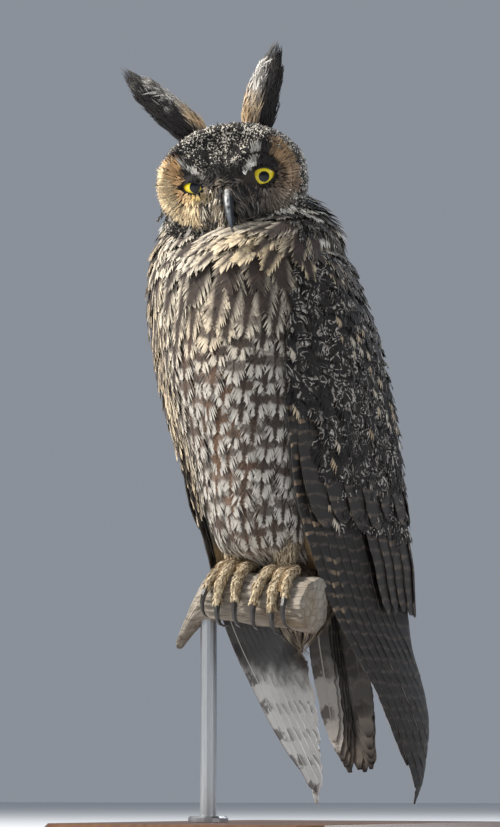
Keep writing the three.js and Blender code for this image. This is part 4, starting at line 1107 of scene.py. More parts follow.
face_flow = joined(flow_x, 0.1 * flow_x, flow_z) @ HEAD_TURNED.T
below_ruff = under_ruff(face_xx, face_zz)
rim_room = np.where(below_ruff < 0, -below_ruff, 9)
rim_room = np.maximum(np.minimum((0.97 - head_out(face_xx, face_zz)) * 34, rim_room), 0.5)
face_length = np.minimum(9.0 - 4.5 * upward - 1.5 * lore, rim_room + 1.1)
face_length = face_length + 0.4 * random.normal(size=len(face_xx))
face_length = np.where(eye_away < 9, np.minimum(face_length, 4.2), face_length)
face_sunk = -2.2 + 2.0 * ease(eye_away, 10.0, 7.5)
plain_finish = Finish("head_feathers", 0.85)
_, _, plain_along, plain_tone, _, plain_mark = vane_marks(plain_finish)
plain_fray = plain_finish.noise(plain_finish.place(), 1500.0, 2.0)
plain_share = plain_finish.times(plain_finish.step(plain_fray, 0.60, 0.38), 0.55)
plain_dark = plain_finish.blend(0.55, plain_tone, (0.012, 0.009, 0.008, 1.0))
plain_colour = plain_finish.blend(plain_share, plain_tone, plain_dark)
plain_speck = plain_finish.noise(plain_finish.place(), 900.0, 1.5)
plain_clump = plain_finish.noise(plain_finish.place(), 210.0, 2.0)
plain_clump = plain_finish.scaled(plain_clump, -0.55, plain_speck)
plain_speck = plain_finish.times(plain_finish.step(plain_clump, 0.295, 0.335), plain_mark[0])
speck_colour = plain_finish.blend(plain_fray, paint(164, 152, 132), paint(252, 247, 236))
plain_colour = plain_finish.blend(plain_speck, plain_colour, speck_colour)
plain_tip = plain_finish.times(plain_finish.step(plain_along, 0.62, 0.78), plain_mark[1])
tip_colour = plain_finish.blend(plain_fray, paint(150, 142, 134), paint(216, 210, 202))
plain_colour = plain_finish.blend(plain_tip, plain_colour, tip_colour)
plain_finish.colour(plain_colour)
plain_finish.shader.inputs["Sheen Weight"].default_value = 0.08
face_marks = joined(face_specks(face_xx, face_zz), 0.0, 0.0)
shown = 0.5 * np.maximum(face_length, 0) / np.hypot(flow_x, flow_z)
face_tone = face_tones(face_xx + shown * flow_x, face_zz + shown * flow_z, random.random(len(face_xx)))
face_coat = Coat()
set_feathers(
    face_coat, face_surface, *face_shares(face_xx, face_zz), face_flow, face_length, 2.6, face_sunk, 0.5,
    random, face_tone, face_marks, pairs=2, half=0.36, ruffle=0.4, jitter=0.32, loose=0.3, first=0.0,
    last=0.25, sweep=0.82, camber=0.1,
)
face_coat.piece("face_feathers", plain_finish, "head_plumage")

# The ruff turns over the discs' rims, and the crown's and nape's feathers follow behind it.
crown_s, crown_t = staggered(head_surface, 2.7, 2.9, random, t_range=(0.42, 0.995))
crown_x, crown_y, crown_z = to_head(head_surface.at(crown_s, crown_t)).T
crown_flow = joined(
    0.6 * crown_x / 40 * ease(crown_t, 0.6, 0.5),
    0.25 + 0.9 * ease(crown_t, 0.43, 0.49) - 0.5 * ease(crown_t, 0.9, 0.99),
    0.6 * crown_z / 30 * ease(crown_t, 0.62, 0.5) - 0.9 * ease(crown_y, 0, 26),
)
ruff = ease(crown_t, 0.56, 0.50) * ease(crown_z, 14, 6)
crown_tone = washed(tone_of((30, 26, 24)), ease(crown_y, 0, 20), (56, 45, 38))
cream_rim = ruff * ease(crown_x, -20, -32) * ease(crown_z, 16, 8) * ease(crown_z, -18, -8)
crown_tone = washed(crown_tone, 0.9 * cream_rim * (crown_t < 0.53), (214, 186, 144))
# The left rim's brown is painted shade, a darker copy of the right rim's cream.
shaded_rim_brown = ruff * ease(crown_x, 22, 32) * ease(crown_z, -14, -6) * (crown_t < 0.50)
crown_tone = washed(crown_tone, 0.7 * shaded_rim_brown, (128, 100, 76))
crown_specks = (0.9 - 0.35 * ease(crown_y, 0, 25)) * (1 - cream_rim) * (1 - 0.8 * shaded_rim_brown)
crown_length = 7.0 + 4 * ease(crown_t, 0.54, 0.62)
crown_coat = Coat()
set_feathers(
    crown_coat, head_surface, crown_s, crown_t, crown_flow @ HEAD_TURNED.T, crown_length, 3.6, -1.8, 0.3,
    random, crown_tone, joined(crown_specks, 0.0, 0.0), pairs=3, half=0.5, ruffle=0.35, jitter=0.22,
    loose=0.15, first=0.0, last=0.4, sweep=0.7, camber=0.2,
)
crown_coat.piece("crown_feathers", plain_finish, "head_plumage")

# Below the discs the ruff is a band of longer feathers, black with white edges. It runs on round the sides
# and the nape as a cape that fills the hollow between head and shoulders, dark with pale tips.
nape_s, nape_t = staggered(head_surface, 3.6, 3.8, random, t_range=(0.47, 0.60))
nape_at = to_head(head_surface.at(nape_s, nape_t))
under_head = nape_at[:, 2] < np.where(nape_t < 0.52, -8, -2)
nape_s, nape_t, nape_at = only(under_head, nape_s, nape_t, nape_at)
nape_pale = (random.random(len(nape_s)) < 0.12)[:, None]
nape_tone = np.where(nape_pale, tone_of((150, 142, 132)), tone_of((26, 22, 21)))
nape_flow = joined(0.35 * nape_at[:, 0] / 30, -0.15, -1.0)
nape_length = 9.5 + random.normal(size=len(nape_s))
nape_coat = Coat()
set_feathers(
    nape_coat, head_surface, nape_s, nape_t, nape_flow @ HEAD_TURNED.T, nape_length, 3.8, -2.4, 1.8, random,
    nape_tone, (0.75, 0.25, 0.0), pairs=4, half=0.5, ruffle=0.6, jitter=0.2, loose=0.15, first=0.0, last=0.55,
    sweep=0.55,
)
ruff_x, ruff_row = (a.ravel() for a in np.meshgrid(np.arange(-37, 38, 2.3), np.arange(6)))
ruff_x = ruff_x + 1.15 * (ruff_row % 2) + 0.4 * random.normal(size=len(ruff_x))
ruff_z = np.interp(ruff_x, RUFF_AT[:, 0], RUFF_AT[:, 1]) - 0.6 - 2.6 * ruff_row
ruff_z = ruff_z + 0.4 * random.normal(size=len(ruff_x))
ruff_x, ruff_z = only((ruff_row < 2) | (head_out(ruff_x, ruff_z) < 0.98), ruff_x, ruff_z)
ruff_pale = (random.random(len(ruff_x)) < 0.42 - 0.26 * ease(np.abs(ruff_x), 26, 32))[:, None]
ruff_tone = np.where(ruff_pale, tone_of((222, 216, 206)), tone_of((24, 20, 19)))
ruff_flow = joined(ruff_x / 34, 0.12, -1.0)
set_feathers(
    nape_coat, face_surface, *face_shares(ruff_x, ruff_z), ruff_flow @ HEAD_TURNED.T,
    8.5 + 0.8 * random.normal(size=len(ruff_x)), 2.2, -1.4, 1.5, random, ruff_tone, (0.35, 0.0, 0.0), pairs=3,
    half=0.36, ruffle=0.5, jitter=0.2, loose=0.2, first=0.0, last=0.5, sweep=0.6,
)
cape_s, cape_t = staggered(mantle_surface, 4.8, 5.2, random, t_range=(0.035, 0.21))
cape_at = mantle_surface.at(cape_s, cape_t)
cape_side = beside_face(np.arctan2(cape_at[:, 1] + 18, cape_at[:, 0]))
cape_s, cape_t, cape_at = only(cape_side > 0.3, cape_s, cape_t, cape_at)
cape_x, cape_y, cape_z = cape_at.T
cape_pale = (random.random(len(cape_s)) < 0.08 + 0.12 * ease(cape_x, -20, -34))[:, None]
cape_tone = np.where(cape_pale, tone_of((176, 166, 150)), tone_of((34, 29, 27)))
cape_tone = washed(cape_tone, 0.5 * ease(cape_y, 0, 20), (70, 56, 46))
cape_specks = 0.25 + 0.6 * ease(cape_t, 0.12, 0.05)
cape_tips = (random.random(len(cape_s)) < 0.4) * ease(cape_t, 0.06, 0.12)
cape_length = 12 + 16 * (cape_t - 0.03) / 0.18 * 0.5 + random.normal(size=len(cape_s))
cape_proud = 1.0 + 3.0 * ease(cape_z, 318, 331) * ease(cape_x, 0, 20)
set_feathers(
    nape_coat, mantle_surface, cape_s, cape_t, (0.0, 0.15, -1.0), cape_length, 6.4, -3.0, cape_proud, random,
    cape_tone, joined(cape_specks, cape_tips, 0.0), pairs=7, half=0.6, ruffle=0.5, jitter=0.18, loose=0.1,
    first=0.05, last=0.7, sweep=0.42,
)
nape_coat.piece("nape_feathers", plain_finish, "head_plumage")


# Ear tufts
# Two tufts stand from the crown, each of long narrow feathers with black middles and grey-white inner
# edges, buff at the base. They grow round a thin stalk of skin and end in black wisps.
EAR_LINES = {  # places along each tuft in the head's frame, and half its width there
    "left": [
        [14.4, -3, 18, 7.2], [19.2, -5, 31, 9.6], [24, -6, 43.5, 9.4], [28.2, -4, 53, 8.4],
        [31.0, -2, 59.5, 5.8],
    ],
    "right": [
        [-12.9, -3, 18, 7.0], [-19.2, -5, 30, 9.0], [-29.6, -7, 43, 8.8], [-38.4, -7, 53.5, 7.8],
        [-43.2, -6, 59.0, 5.4],
    ],
}
for name, line in EAR_LINES.items():
    side = 1 if name == "left" else -1
    stops = smooth_through(np.arange(5), np.array(line, float), np.linspace(0, 4, 60))
    path, wide = from_head(stops[:, :3]), stops[:, 3]
    deep = np.minimum(0.34 * wide + 0.3, 2.9)
    tuft_rings = rod_places(path, wide - 0.8, deep, HEAD_TURNED @ (1, 0, 0), round_turns(60))
    tuft_surface = Surface(tuft_rings, closed=True)
    if np.sum(tuft_surface.normals[20, 0] * (tuft_rings[20, 0] - path[20])) < 0:
        tuft_surface = Surface(tuft_rings[:, ::-1], closed=True)
    tuft_s, tuft_t = staggered(tuft_surface, 2.6, 2.3, random, t_range=(0.0, 0.90))
    shares = np.linspace(0, 1, 60)
    tuft_way = smooth_through(shares, unit(np.gradient(path, axis=0)), tuft_t)
    middle = smooth_through(shares, np.column_stack([stops[:, :3], wide]), tuft_t)
    run = smooth_through(shares, unit(np.gradient(stops[:, :3], axis=0)), tuft_t)
    tuft_at = tuft_surface.at(tuft_s, tuft_t)
    offset = to_head(tuft_at) - middle[:, :3]
    inward = -side * (offset[:, 0] * run[:, 2] - offset[:, 2] * run[:, 0]) / middle[:, 3]
    sideways = from_head(joined(run[:, 2], 0.0, -run[:, 0])) - from_head(np.zeros(3))
    tuft_flow = tuft_way - 0.22 * side * inward[:, None] * sideways
    tuft_flow = unit(tuft_flow + 0.10 * random.normal(size=tuft_way.shape))
    # A feather that would leave the tuft's own way where its surface narrows is left out.
    reached = tuft_surface.walk(tuft_s, tuft_t, tuft_flow, 0 * tuft_s, 0 * tuft_s + 10)[0]
    kept = np.sum(unit(reached - tuft_at) * tuft_way, -1) > 0.88
    tuft_s, tuft_t, tuft_flow, inward = only(kept, tuft_s, tuft_t, tuft_flow, inward)
    pale_edge = ease(inward, -0.05, 0.3) if side > 0 else ease(inward, 0.25, 0.6)
    scallop = ease(np.sin(tuft_t * 42 + 2.5 * inward), 0.55, 0.85) * ease(np.abs(inward + 0.05), 0.5, 0.3)
    scallop = scallop * ease(tuft_t, 0.3, 0.4) * ease(tuft_t, 0.85, 0.72) * (side < 0)
    pale = np.maximum(pale_edge, scallop) * (1 - 0.85 * ease(tuft_t, 0.70, 0.86))
    tuft_tone = washed(tone_of((28, 24, 24)), pale, (186, 182, 176))
    tuft_tone = washed(tuft_tone, 0.8 * pale_edge * ease(tuft_t, 0.40, 0.12), (198, 164, 118))
    dark_fleck = (random.random(len(tuft_s)) < 0.16) * pale_edge * ease(tuft_t, 0.25, 0.4)
    tuft_tone = washed(tuft_tone, 0.8 * dark_fleck, (60, 52, 48))
    tuft_length = 16 - 5 * tuft_t + 1.5 * random.normal(size=len(tuft_s))
    tuft_coat = Coat()
    set_feathers(
        tuft_coat, tuft_surface, tuft_s, tuft_t, tuft_flow, tuft_length, 4.0, -1.3, 0.5, random, tuft_tone,
        (0.0, 0.0, 0.0), pairs=4, half=0.40, ruffle=0.7, jitter=0.2, loose=0.22, first=0.0, last=0.5,
        sweep=0.6, camber=0.15,
    )
    stalk_wide, stalk_deep = np.maximum(wide - 2.2, 0.3), np.maximum(deep - 1.3, 0.25)
    stalk = rod_places(path, stalk_wide, stalk_deep, HEAD_TURNED @ (1, 0, 0), round_turns(20))
    tuft_coat.add_rod(stalk[:54], (34, 28, 26))
    tuft_coat.piece("ear_tuft_feathers_" + name, plain_finish, "tuft_feathers", ["ear_tuft_" + name])


# Wings
# Each folded wing is a stack of long stiff flight feathers, under rows of coverts that get shorter and
# rounder towards the shoulder. All overlap like shingles, and the mantle's feathers lie over the upper
# edge.
wing_heights = np.linspace(WING_TOP, WING_TIP, 220)
wing_places = wing_grid(wing_heights, 120)
wing_surface = Surface(wing_places)
wing_widths = np.linalg.norm(np.diff(wing_places, axis=1), axis=-1).sum(axis=1)


def wing_width(z):
    return np.interp(z, wing_heights[::-1], wing_widths[::-1])


VANE_MARKS, VANE_SHARES = [0, 0.3, 0.6, 0.84, 0.94, 1], [0.55, 0.92, 1, 0.84, 0.56, 0.14]
VANE_COLUMNS = np.array([-1, -0.86, -0.62, -0.36, -0.1, 0, 0.1, 0.36, 0.62, 0.86, 1])
SHEET = 0.4


def sheet_faces(rows, columns, count):
    """Faces of that many thin closed sheets: their upper places come first and the under ones after them."""
    n = rows * columns
    numbers = np.arange(n).reshape(rows, columns)
    a, b, c, d = numbers[:-1, :-1], numbers[1:, :-1], numbers[1:, 1:], numbers[:-1, 1:]
    upper = joined(a, b, c, d).reshape(-1, 4)
    under = upper[:, ::-1] + n
    rim = np.concatenate([numbers[:, 0], numbers[-1, 1:], numbers[-2::-1, -1], numbers[0, -2:0:-1]])
    ahead = np.roll(rim, -1)
    walls = joined(rim, rim + n, ahead + n, ahead)
    starts = (np.arange(count) * 2 * n)[:, None, None]
    return [(starts + np.concatenate([upper, under])).reshape(-1, 4), (starts + walls).reshape(-1, 4)]


def ragged(columns, half, fringe, random):
    """Where a vane's columns lie across it at each station, its edges frayed a little and split here and
    there."""
    count, stations = half.shape
    reach = columns * half[..., None]
    rag = fringe * random.normal(size=(count, stations, 2))
    split = fringe * 3.2 * (random.random((count, stations)) < 0.07)
    reach[..., 0] += 0.5 * rag[..., 0]
    reach[..., -1] += rag[..., 1] - split
    return reach


def wing_vanes(
    coat, tips, roots, place, half, low, high, climb, tilt, tone, marks, random, row, free=0.0, stations=44,
):
    """Flight feathers on the wing: from the height of the root to that of the tip, with the middle a way
    behind the wing's front edge, rising from low at the root to high after its climb, the front edge tilted
    up. Row is where their part of the bake map starts."""
    tips = np.asarray(tips, float)
    count = len(tips)
    roots = np.broadcast_to(np.asarray(roots, float), count)
    v = np.linspace(0, 1, stations) ** 0.9
    z = roots[:, None] + (tips - roots)[:, None] * v
    s, t = place(z) / wing_width(z), (WING_TOP - z) / (WING_TOP - WING_TIP)
    ahead = unit(np.gradient(wing_surface.at(s, t), axis=1))
    wide = half * np.interp(v, VANE_MARKS, VANE_SHARES) * np.ones((count, 1))
    reach = ragged(VANE_COLUMNS, wide, 0.4, random)
    rise = low + (high - low) * np.clip((roots[:, None] - z) / climb, 0, 1) + free * ease(z, 100, 50)
    shaft = 0.4 * bell(VANE_COLUMNS, 0.07) * (1.05 - v)[:, None]
    height = rise[..., None] - tilt * reach + shaft[None]
    height = height + 0.12 * random.normal(size=(count, 1, 1)) * v[:, None]

    def flat(field):
        return field.reshape((count * stations,) + field.shape[2:])

    places, out, _, _ = wing_surface.walk(flat(s), flat(t), flat(ahead), flat(reach), 0 * flat(reach))
    upper = places + out * flat(height)[..., None]
    shape = (count, stations, len(VANE_COLUMNS), 3)
    made = np.stack([upper.reshape(shape), (upper - out * SHEET).reshape(shape)], 1)
    column = np.broadcast_to((VANE_COLUMNS + 1) / 2, shape[:3])
    down = np.broadcast_to(v[None, :, None], shape[:3])
    number = np.arange(count)[:, None, None]
    vane = joined(column, down)
    bake = joined((number + 0.08 + 0.84 * column) / count, 0.02 + row + 0.2 * down)
    vane, bake = np.stack([vane, vane], 1), np.stack([bake, bake], 1)
    toned = np.column_stack([np.broadcast_to(tone, (count, 3)), random.random(count)])
    toned = toned[:, None, None, None, :] + np.zeros(made.shape[:-1] + (4,))
    marked = np.broadcast_to(marks, (count, 3))[:, None, None, None, :] + np.zeros(made.shape)
    marked[:, 1, :, :, 2] = 1.0
    coat.add(made, sheet_faces(stations, len(VANE_COLUMNS), count), [True, False], vane, bake, toned, marked)


PRIMARY_TIPS = np.array([36, 14.5, 20, 30, 40, 49, 59, 72, 86.0])
PRIMARY_ROOTS = np.array([228, 228, 228, 206, 204, 202, 170, 169, 168.0])


def primary_place(z):
    width = wing_width(z)
    return np.minimum(6.2 + 7.2 * np.arange(9)[:, None], np.maximum(0.6 * width, width - 6.5))


def covert_place(shares, half):
    def place(z):
        width = wing_width(z)
        return np.minimum(shares[:, None] * width, width - half - 0.6)

    return place


# On top, bars at even heights cross the flight feathers, faint and wavy, with buff spots on the front webs
# of the foremost. Their undersides are white beside a white shaft, blotched with brown that fades to the
# rear, and higher up darkened by a painted shadow of the wing and body. The marks are the bars' wave in
# radians a metre, the spots' strength and the underside's share.
flight_finish = Finish("flight_feathers", 0.62)
flight_column, flight_from, flight_along, flight_tone, _, flight_mark = vane_marks(flight_finish)
flight_high = flight_finish.parts(flight_finish.place())[2]
flight_ripple = flight_finish.noise(flight_finish.place(), 110.0, 3.0)
flight_speck = flight_finish.noise(flight_finish.place(), 1000.0, 3.0)
flight_bars = flight_finish.scaled(flight_high, flight_mark[0], flight_finish.times(flight_ripple, 6.5))
flight_bars = flight_finish.scaled(flight_from, 1.5, flight_bars)
flight_wave = flight_finish.sum("SINE", flight_bars)
bar_specks = flight_finish.step(flight_speck, 0.36, 0.60)
flight_share = flight_finish.times(flight_finish.step(flight_wave, 0.55, 0.95), bar_specks)
flight_share = flight_finish.times(flight_share, 0.22)
flight_front = flight_finish.times(flight_finish.step(flight_column, 0.42, 0.34), 0.35)
flight_front = flight_finish.sum("MAXIMUM", flight_front, flight_finish.step(flight_column, 0.13, 0.08))
flight_spot = flight_finish.times(flight_finish.step(flight_wave, 0.25, 0.5), flight_front)
flight_spot = flight_finish.times(flight_spot, flight_mark[1])
flight_spot = flight_finish.times(flight_spot, flight_finish.step(flight_ripple, 0.40, 0.62))
flight_spot = flight_finish.times(flight_spot, flight_finish.step(flight_high, 0.105, 0.140))
flight_colour = flight_finish.blend(flight_share, flight_tone, paint(132, 116, 102))
flight_colour = flight_finish.blend(flight_spot, flight_colour, paint(160, 136, 108))
flight_colour = flight_finish.blend(flight_finish.times(flight_speck, 0.25), flight_colour, paint(24, 19, 18))
under_white = flight_finish.blend(flight_speck, paint(255, 253, 248), paint(232, 227, 219))
under_patch = flight_finish.noise(flight_finish.place(), 230.0, 4.0)
under_wave = flight_finish.sum("SINE", flight_finish.times(flight_bars, 0.42))
under_mottle = flight_finish.scaled(under_patch, 4.5, under_wave)
under_mottle = flight_finish.scaled(flight_speck, 1.2, under_mottle)
under_fade = flight_finish.step(flight_column, 0.98, 0.40)
under_blotch = flight_finish.times(flight_finish.step(under_mottle, 2.9, 3.6), under_fade)
under_high = flight_finish.scaled(flight_ripple, 0.02, flight_high)
# Above a height the undersides are painted near-black: a painted shadow of the wing and body.
under_painted_shadow = flight_finish.times(flight_finish.step(under_high, 0.094, 0.114), 0.90)
under_shaft = flight_finish.step(flight_from, 0.07, 0.04)
under_colour = flight_finish.blend(flight_finish.times(under_blotch, 0.8), under_white, paint(88, 77, 68))
under_colour = flight_finish.blend(under_painted_shadow, under_colour, paint(38, 33, 31))
under_colour = flight_finish.blend(under_shaft, under_colour, paint(232, 228, 218))
flight_finish.colour(flight_finish.blend(flight_mark[2], flight_colour, under_colour))
barbs = flight_finish.scaled(flight_along, 1100.0, flight_finish.times(flight_from, -34.0))
flight_finish.bump(flight_finish.sum("SINE", barbs), 0.00006, 0.4)
# The coverts are black-brown, vermiculated with fine grey-white lines, some with a pale spot near the tip.
covert_finish = Finish("wing_coverts", 0.8)
covert_column, covert_from, covert_along, covert_tone, _, covert_mark = vane_marks(covert_finish)
covert_rings = covert_finish.noise(covert_finish.place(), 110.0, 1.5, Distortion=0.9)
covert_rings = covert_finish.sum("SINE", covert_finish.times(covert_rings, 38.0))
covert_patch = covert_finish.noise(covert_finish.place(), 85.0, 2.0)
covert_speck = covert_finish.noise(covert_finish.place(), 1100.0, 2.0)
covert_patch = covert_finish.step(covert_patch, 0.36, 0.58)
covert_share = covert_finish.times(covert_finish.step(covert_rings, 0.42, 0.92), covert_patch)
covert_share = covert_finish.times(covert_share, covert_finish.step(covert_speck, 0.32, 0.46))
covert_share = covert_finish.times(covert_share, covert_finish.step(covert_from, 0.04, 0.16))
covert_pale = covert_finish.blend(covert_speck, paint(74, 66, 60), paint(206, 198, 188))
covert_colour = covert_finish.blend(covert_share, covert_tone, covert_pale)
# A pale spot lies on the front web only, near the tip.
spot_side = covert_finish.sum("ABSOLUTE", covert_finish.sum("SUBTRACT", covert_column, 0.27))
spot_down = covert_finish.sum("ABSOLUTE", covert_finish.sum("SUBTRACT", covert_along, 0.80))
spot_away = covert_finish.scaled(spot_down, 0.9, spot_side)
spot_away = covert_finish.scaled(covert_speck, 0.12, spot_away)
spot = covert_finish.times(covert_finish.step(spot_away, 0.30, 0.20), covert_mark[0])
spot_colour = covert_finish.blend(covert_mark[1], paint(188, 182, 172), paint(168, 146, 116))
covert_colour = covert_finish.blend(spot, covert_colour, spot_colour)
covert_finish.colour(covert_colour)

PRIMARY_HALF, SECONDARY_HALF = 8.4, 10.5
BAR_WAVE = 980.0
PRIMARY_SPOTS = (1, 0.9, 0.4, 0.1, 0, 0, 0, 0, 0)
SECONDARIES = (  # height of the tips, length, how many, start and end across, how proud, hang, bake row
    (116, 112, 8, 0.40, 0.93, 1.7, -14, 0.25),
    (165, 60, 9, 0.10, 0.92, 1.8, -6, 0.5),
)
COVERTS = (  # heights of the topmost and lowest, spacing down and across, length, width, how proud
    (318, 236, 7.0, 7.6, 17.0, 11.0, 2.4),
    (243, 202, 8.6, 9.0, 21.0, 13.0, 2.6),
    (208, 176, 9.5, 10.0, 25.0, 14.0, 2.7),
)
for name, mirror in (("left", False), ("right", True)):
    random = np.random.default_rng(31 if name == "left" else 32)
    flight = Coat()
    wing_vanes(
        flight, PRIMARY_TIPS, PRIMARY_ROOTS, primary_place, PRIMARY_HALF, -4.8, -1.6, 24.0, 0.07,
        tone_of((24, 19, 17)), joined(BAR_WAVE, PRIMARY_SPOTS, 0.0), random, 0.0, free=1.3, stations=64,
    )
    for tip, long, count, start, end, high, hang, row in SECONDARIES:
        shares = np.linspace(start, end, count)
        tips = tip - hang * (shares - 0.5) + 2 * random.normal(size=count)
        place = covert_place(shares, SECONDARY_HALF)
        wing_vanes(
            flight, tips, tip + long, place, SECONDARY_HALF, -4.8, high, 0.75 * long, 0.1,
            tone_of((33, 27, 25)), (BAR_WAVE, 0.25, 0.0), random, row,
        )
    flight.piece("wing_flight_" + name, flight_finish, "wing_feathers", ["wing_" + name], mirror=mirror)
    coverts = Coat()
    for top, bottom, down, across, length, width, proud in COVERTS:
        span = (WING_TOP - top) / (WING_TOP - WING_TIP), (WING_TOP - bottom) / (WING_TOP - WING_TIP)
        s, t = staggered(wing_surface, down, across, random, loose=0.14, s_range=(0.0, 0.99), t_range=span)
        at = wing_surface.at(s, t)
        keep = s > 0.13 * ease(at[:, 2], 236, 224)
        if mirror:
            keep &= s > 0.20 * ease(at[:, 2], 184, 200)
        s, t, at = only(keep, s, t, at)
        dark = tone_of((25, 21, 20)) * (1 + 0.2 * random.normal(size=(len(s), 1)))
        edge = np.abs(s - 0.42 - 0.0088 * (264 - at[:, 2]))
        scapular = (edge < 0.085) & (at[:, 2] < 285) & (random.random(len(s)) < 0.55)
        spots = np.maximum(1.0 * (random.random(len(s)) < 0.07), scapular)
        marks = joined(spots, 0.2 + 0.8 * random.random(len(s)), 0.0)
        lengths = length + random.normal(size=len(s))
        widths = width + 0.5 * random.normal(size=len(s))
        set_feathers(
            coverts, wing_surface, s, t, joined(0.0, 0.22 + 0.2 * s, -1.0), lengths, widths, -3.4, proud,
            random, np.clip(dark, 0, 1), marks, pairs=9, half=0.85, sweep=0.34, first=0.15, camber=0.5,
            ruffle=0.2, bristle=0.05, thick=0.1, roll=0.08, jitter=0.05,
        )
    coverts.piece("wing_coverts_" + name, covert_finish, "wing_feathers", mirror=mirror)
random = np.random.default_rng(51)


# Tail
# Twelve long feathers lie one over another, the middle pair hindmost. Each is a stiff dark brown vane with a
# raised shaft and faint bars, its brown darkened in part as painted shade, and pale in a band before its tip
# as a painted lit rim. A rod of quills holds them at the top.
TAIL_TOP, TAIL_TIP = np.array([3.0, 80, 152]), np.array([11.0, 102, 33])
TAIL_LAYER, TAIL_HALF = 1.15, 6.6
tail_line = TAIL_TIP - TAIL_TOP
tail_down = unit(tail_line)
tail_side = unit(np.array([1.0, 0, 0]) - tail_down * tail_down[0])
tail_back = np.cross(tail_side, tail_down)
tail_stations = 46
tail_v = np.linspace(0, 1, tail_stations) ** 0.9
tail_share = np.interp(tail_v, VANE_MARKS, VANE_SHARES)
tail_coat = Coat()
for pair in range(6):
    for side in (1, -1):
        layer = (1 - side) / 2 if pair == 0 else pair + 1
        left = side * (1.4 if pair == 0 else TAIL_HALF + 0.4 + 1.05 * (pair - 1))
        reach = 1 - 0.006 * pair**2 + 0.008 * random.uniform(-1, 1)
        opened = 0.45 + 0.55 * np.minimum(tail_v / 0.45, 1)
        back = -layer * TAIL_LAYER * (0.8 + 0.2 * np.minimum(tail_v / 0.3, 1))
        wide = ragged(VANE_COLUMNS, (TAIL_HALF + 0.6) * tail_share[None], 0.35, random)[0]
        ridge = 0.4 * bell(VANE_COLUMNS, 0.08) * (1.05 - tail_v)[:, None]
        middle = TAIL_TOP + tail_v[:, None] * reach * tail_line
        aside, raised = (left * opened)[:, None] + wide, back[:, None] + ridge
        at = middle[:, None] + tail_side * aside[..., None] + tail_back * raised[..., None]
        made = np.stack([at, at - SHEET * tail_back - 2 * ridge[..., None] * tail_back])
        shape = at.shape[:2]
        column = np.broadcast_to((VANE_COLUMNS + 1) / 2, shape)
        down = np.broadcast_to(tail_v[:, None], shape)
        vane = np.stack([joined(column, down)] * 2)
        number = 2 * pair + (1 - side) // 2
        bake = np.stack([joined((number + 0.08 + 0.84 * column) / 12, 0.02 + 0.96 * down)] * 2)
        marks = np.zeros(made.shape) + (620.0, 0.4, 0.0)
        marks[1, ..., 2] = 0.42 if pair > 3 and side < 0 else 0.06
        # A pale band before each tip is a painted lit rim, and the tail's near-black brown is partly painted
        # shade.
        lit_rim_band = ease(tail_v, 0.84, 0.92) * ease(tail_v, 0.985, 0.96)
        lit_rim_band = lit_rim_band * (0.3 + 0.5 * random.random(tail_stations))
        toned = np.zeros(made.shape[:-1] + (4,)) + random.random()
        toned[..., :3] = washed(tone_of((32, 27, 25)), lit_rim_band, (140, 130, 118))[:, None]
        faces = sheet_faces(tail_stations, len(VANE_COLUMNS), 1)
        tail_coat.add(made, faces, [True, False], vane, bake, toned, marks)
quills = np.linspace(TAIL_TOP, TAIL_TOP + 0.25 * tail_line, 12) - 3.4 * TAIL_LAYER * tail_back
quill_rings = rod_places(quills, np.linspace(8, 5, 12), np.linspace(4, 2, 12), tail_side, round_turns(24))
tail_coat.add_rod(quill_rings, (92, 72, 56))
tail_coat.piece("tail_feathers", flight_finish, "tail_feathers", ["tail"])


# Eyes and lids
# Glass eyes: a yellow iris round a black pupil under a clear gloss, held in thin black lids that frown over
# them.
eye_turns = round_turns(64)
LID_SIDES = 96
LID_RINGS = ((0.0, 9.12), (0.1, 9.6), (0.8, 9.9), (2.0, 9.85), (3.2, 9.6), (4.6, 8.9))  # growth, radius
iris_finish = Finish("iris_glass", 0.08)
iris_place = iris_finish.add("ShaderNodeUVMap", uv_map="iris")
iris_out = iris_finish.parts(iris_place)[1]
iris_ray = iris_finish.noise(iris_place, 40.0, 3.0)
iris_ring = iris_finish.step(iris_out, 0.40, 0.80)
iris_colour = iris_finish.blend(iris_ring, paint(226, 206, 52), paint(190, 152, 24))
iris_colour = iris_finish.blend(iris_finish.times(iris_ray, 0.35), iris_colour, paint(120, 96, 20))
pupil, iris_rim = iris_finish.step(iris_out, 0.335, 0.315), iris_finish.step(iris_out, 0.80, 0.88)
iris_colour = iris_finish.blend(pupil, iris_colour, (0.002, 0.003, 0.006, 1.0))
iris_colour = iris_finish.blend(iris_rim, iris_colour, (0.004, 0.004, 0.004, 1.0))
iris_finish.colour(iris_colour)
iris_finish.shader.inputs["Specular IOR Level"].default_value = 0.1
iris_finish.shader.inputs["Coat Weight"].default_value = 0.45
iris_finish.shader.inputs["Coat Roughness"].default_value = 0.02
lid_finish = Finish("lid_skin", 0.6)
lid_finish.shader.inputs["Specular IOR Level"].default_value = 0.2
lid_tone = lid_finish.noise(lid_finish.place(), 1200.0, 3.0)
lid_finish.colour(lid_finish.blend(lid_tone, (0.004, 0.004, 0.004, 1.0), (0.025, 0.021, 0.019, 1.0)))
lid_finish.bump(lid_tone, 0.0003)
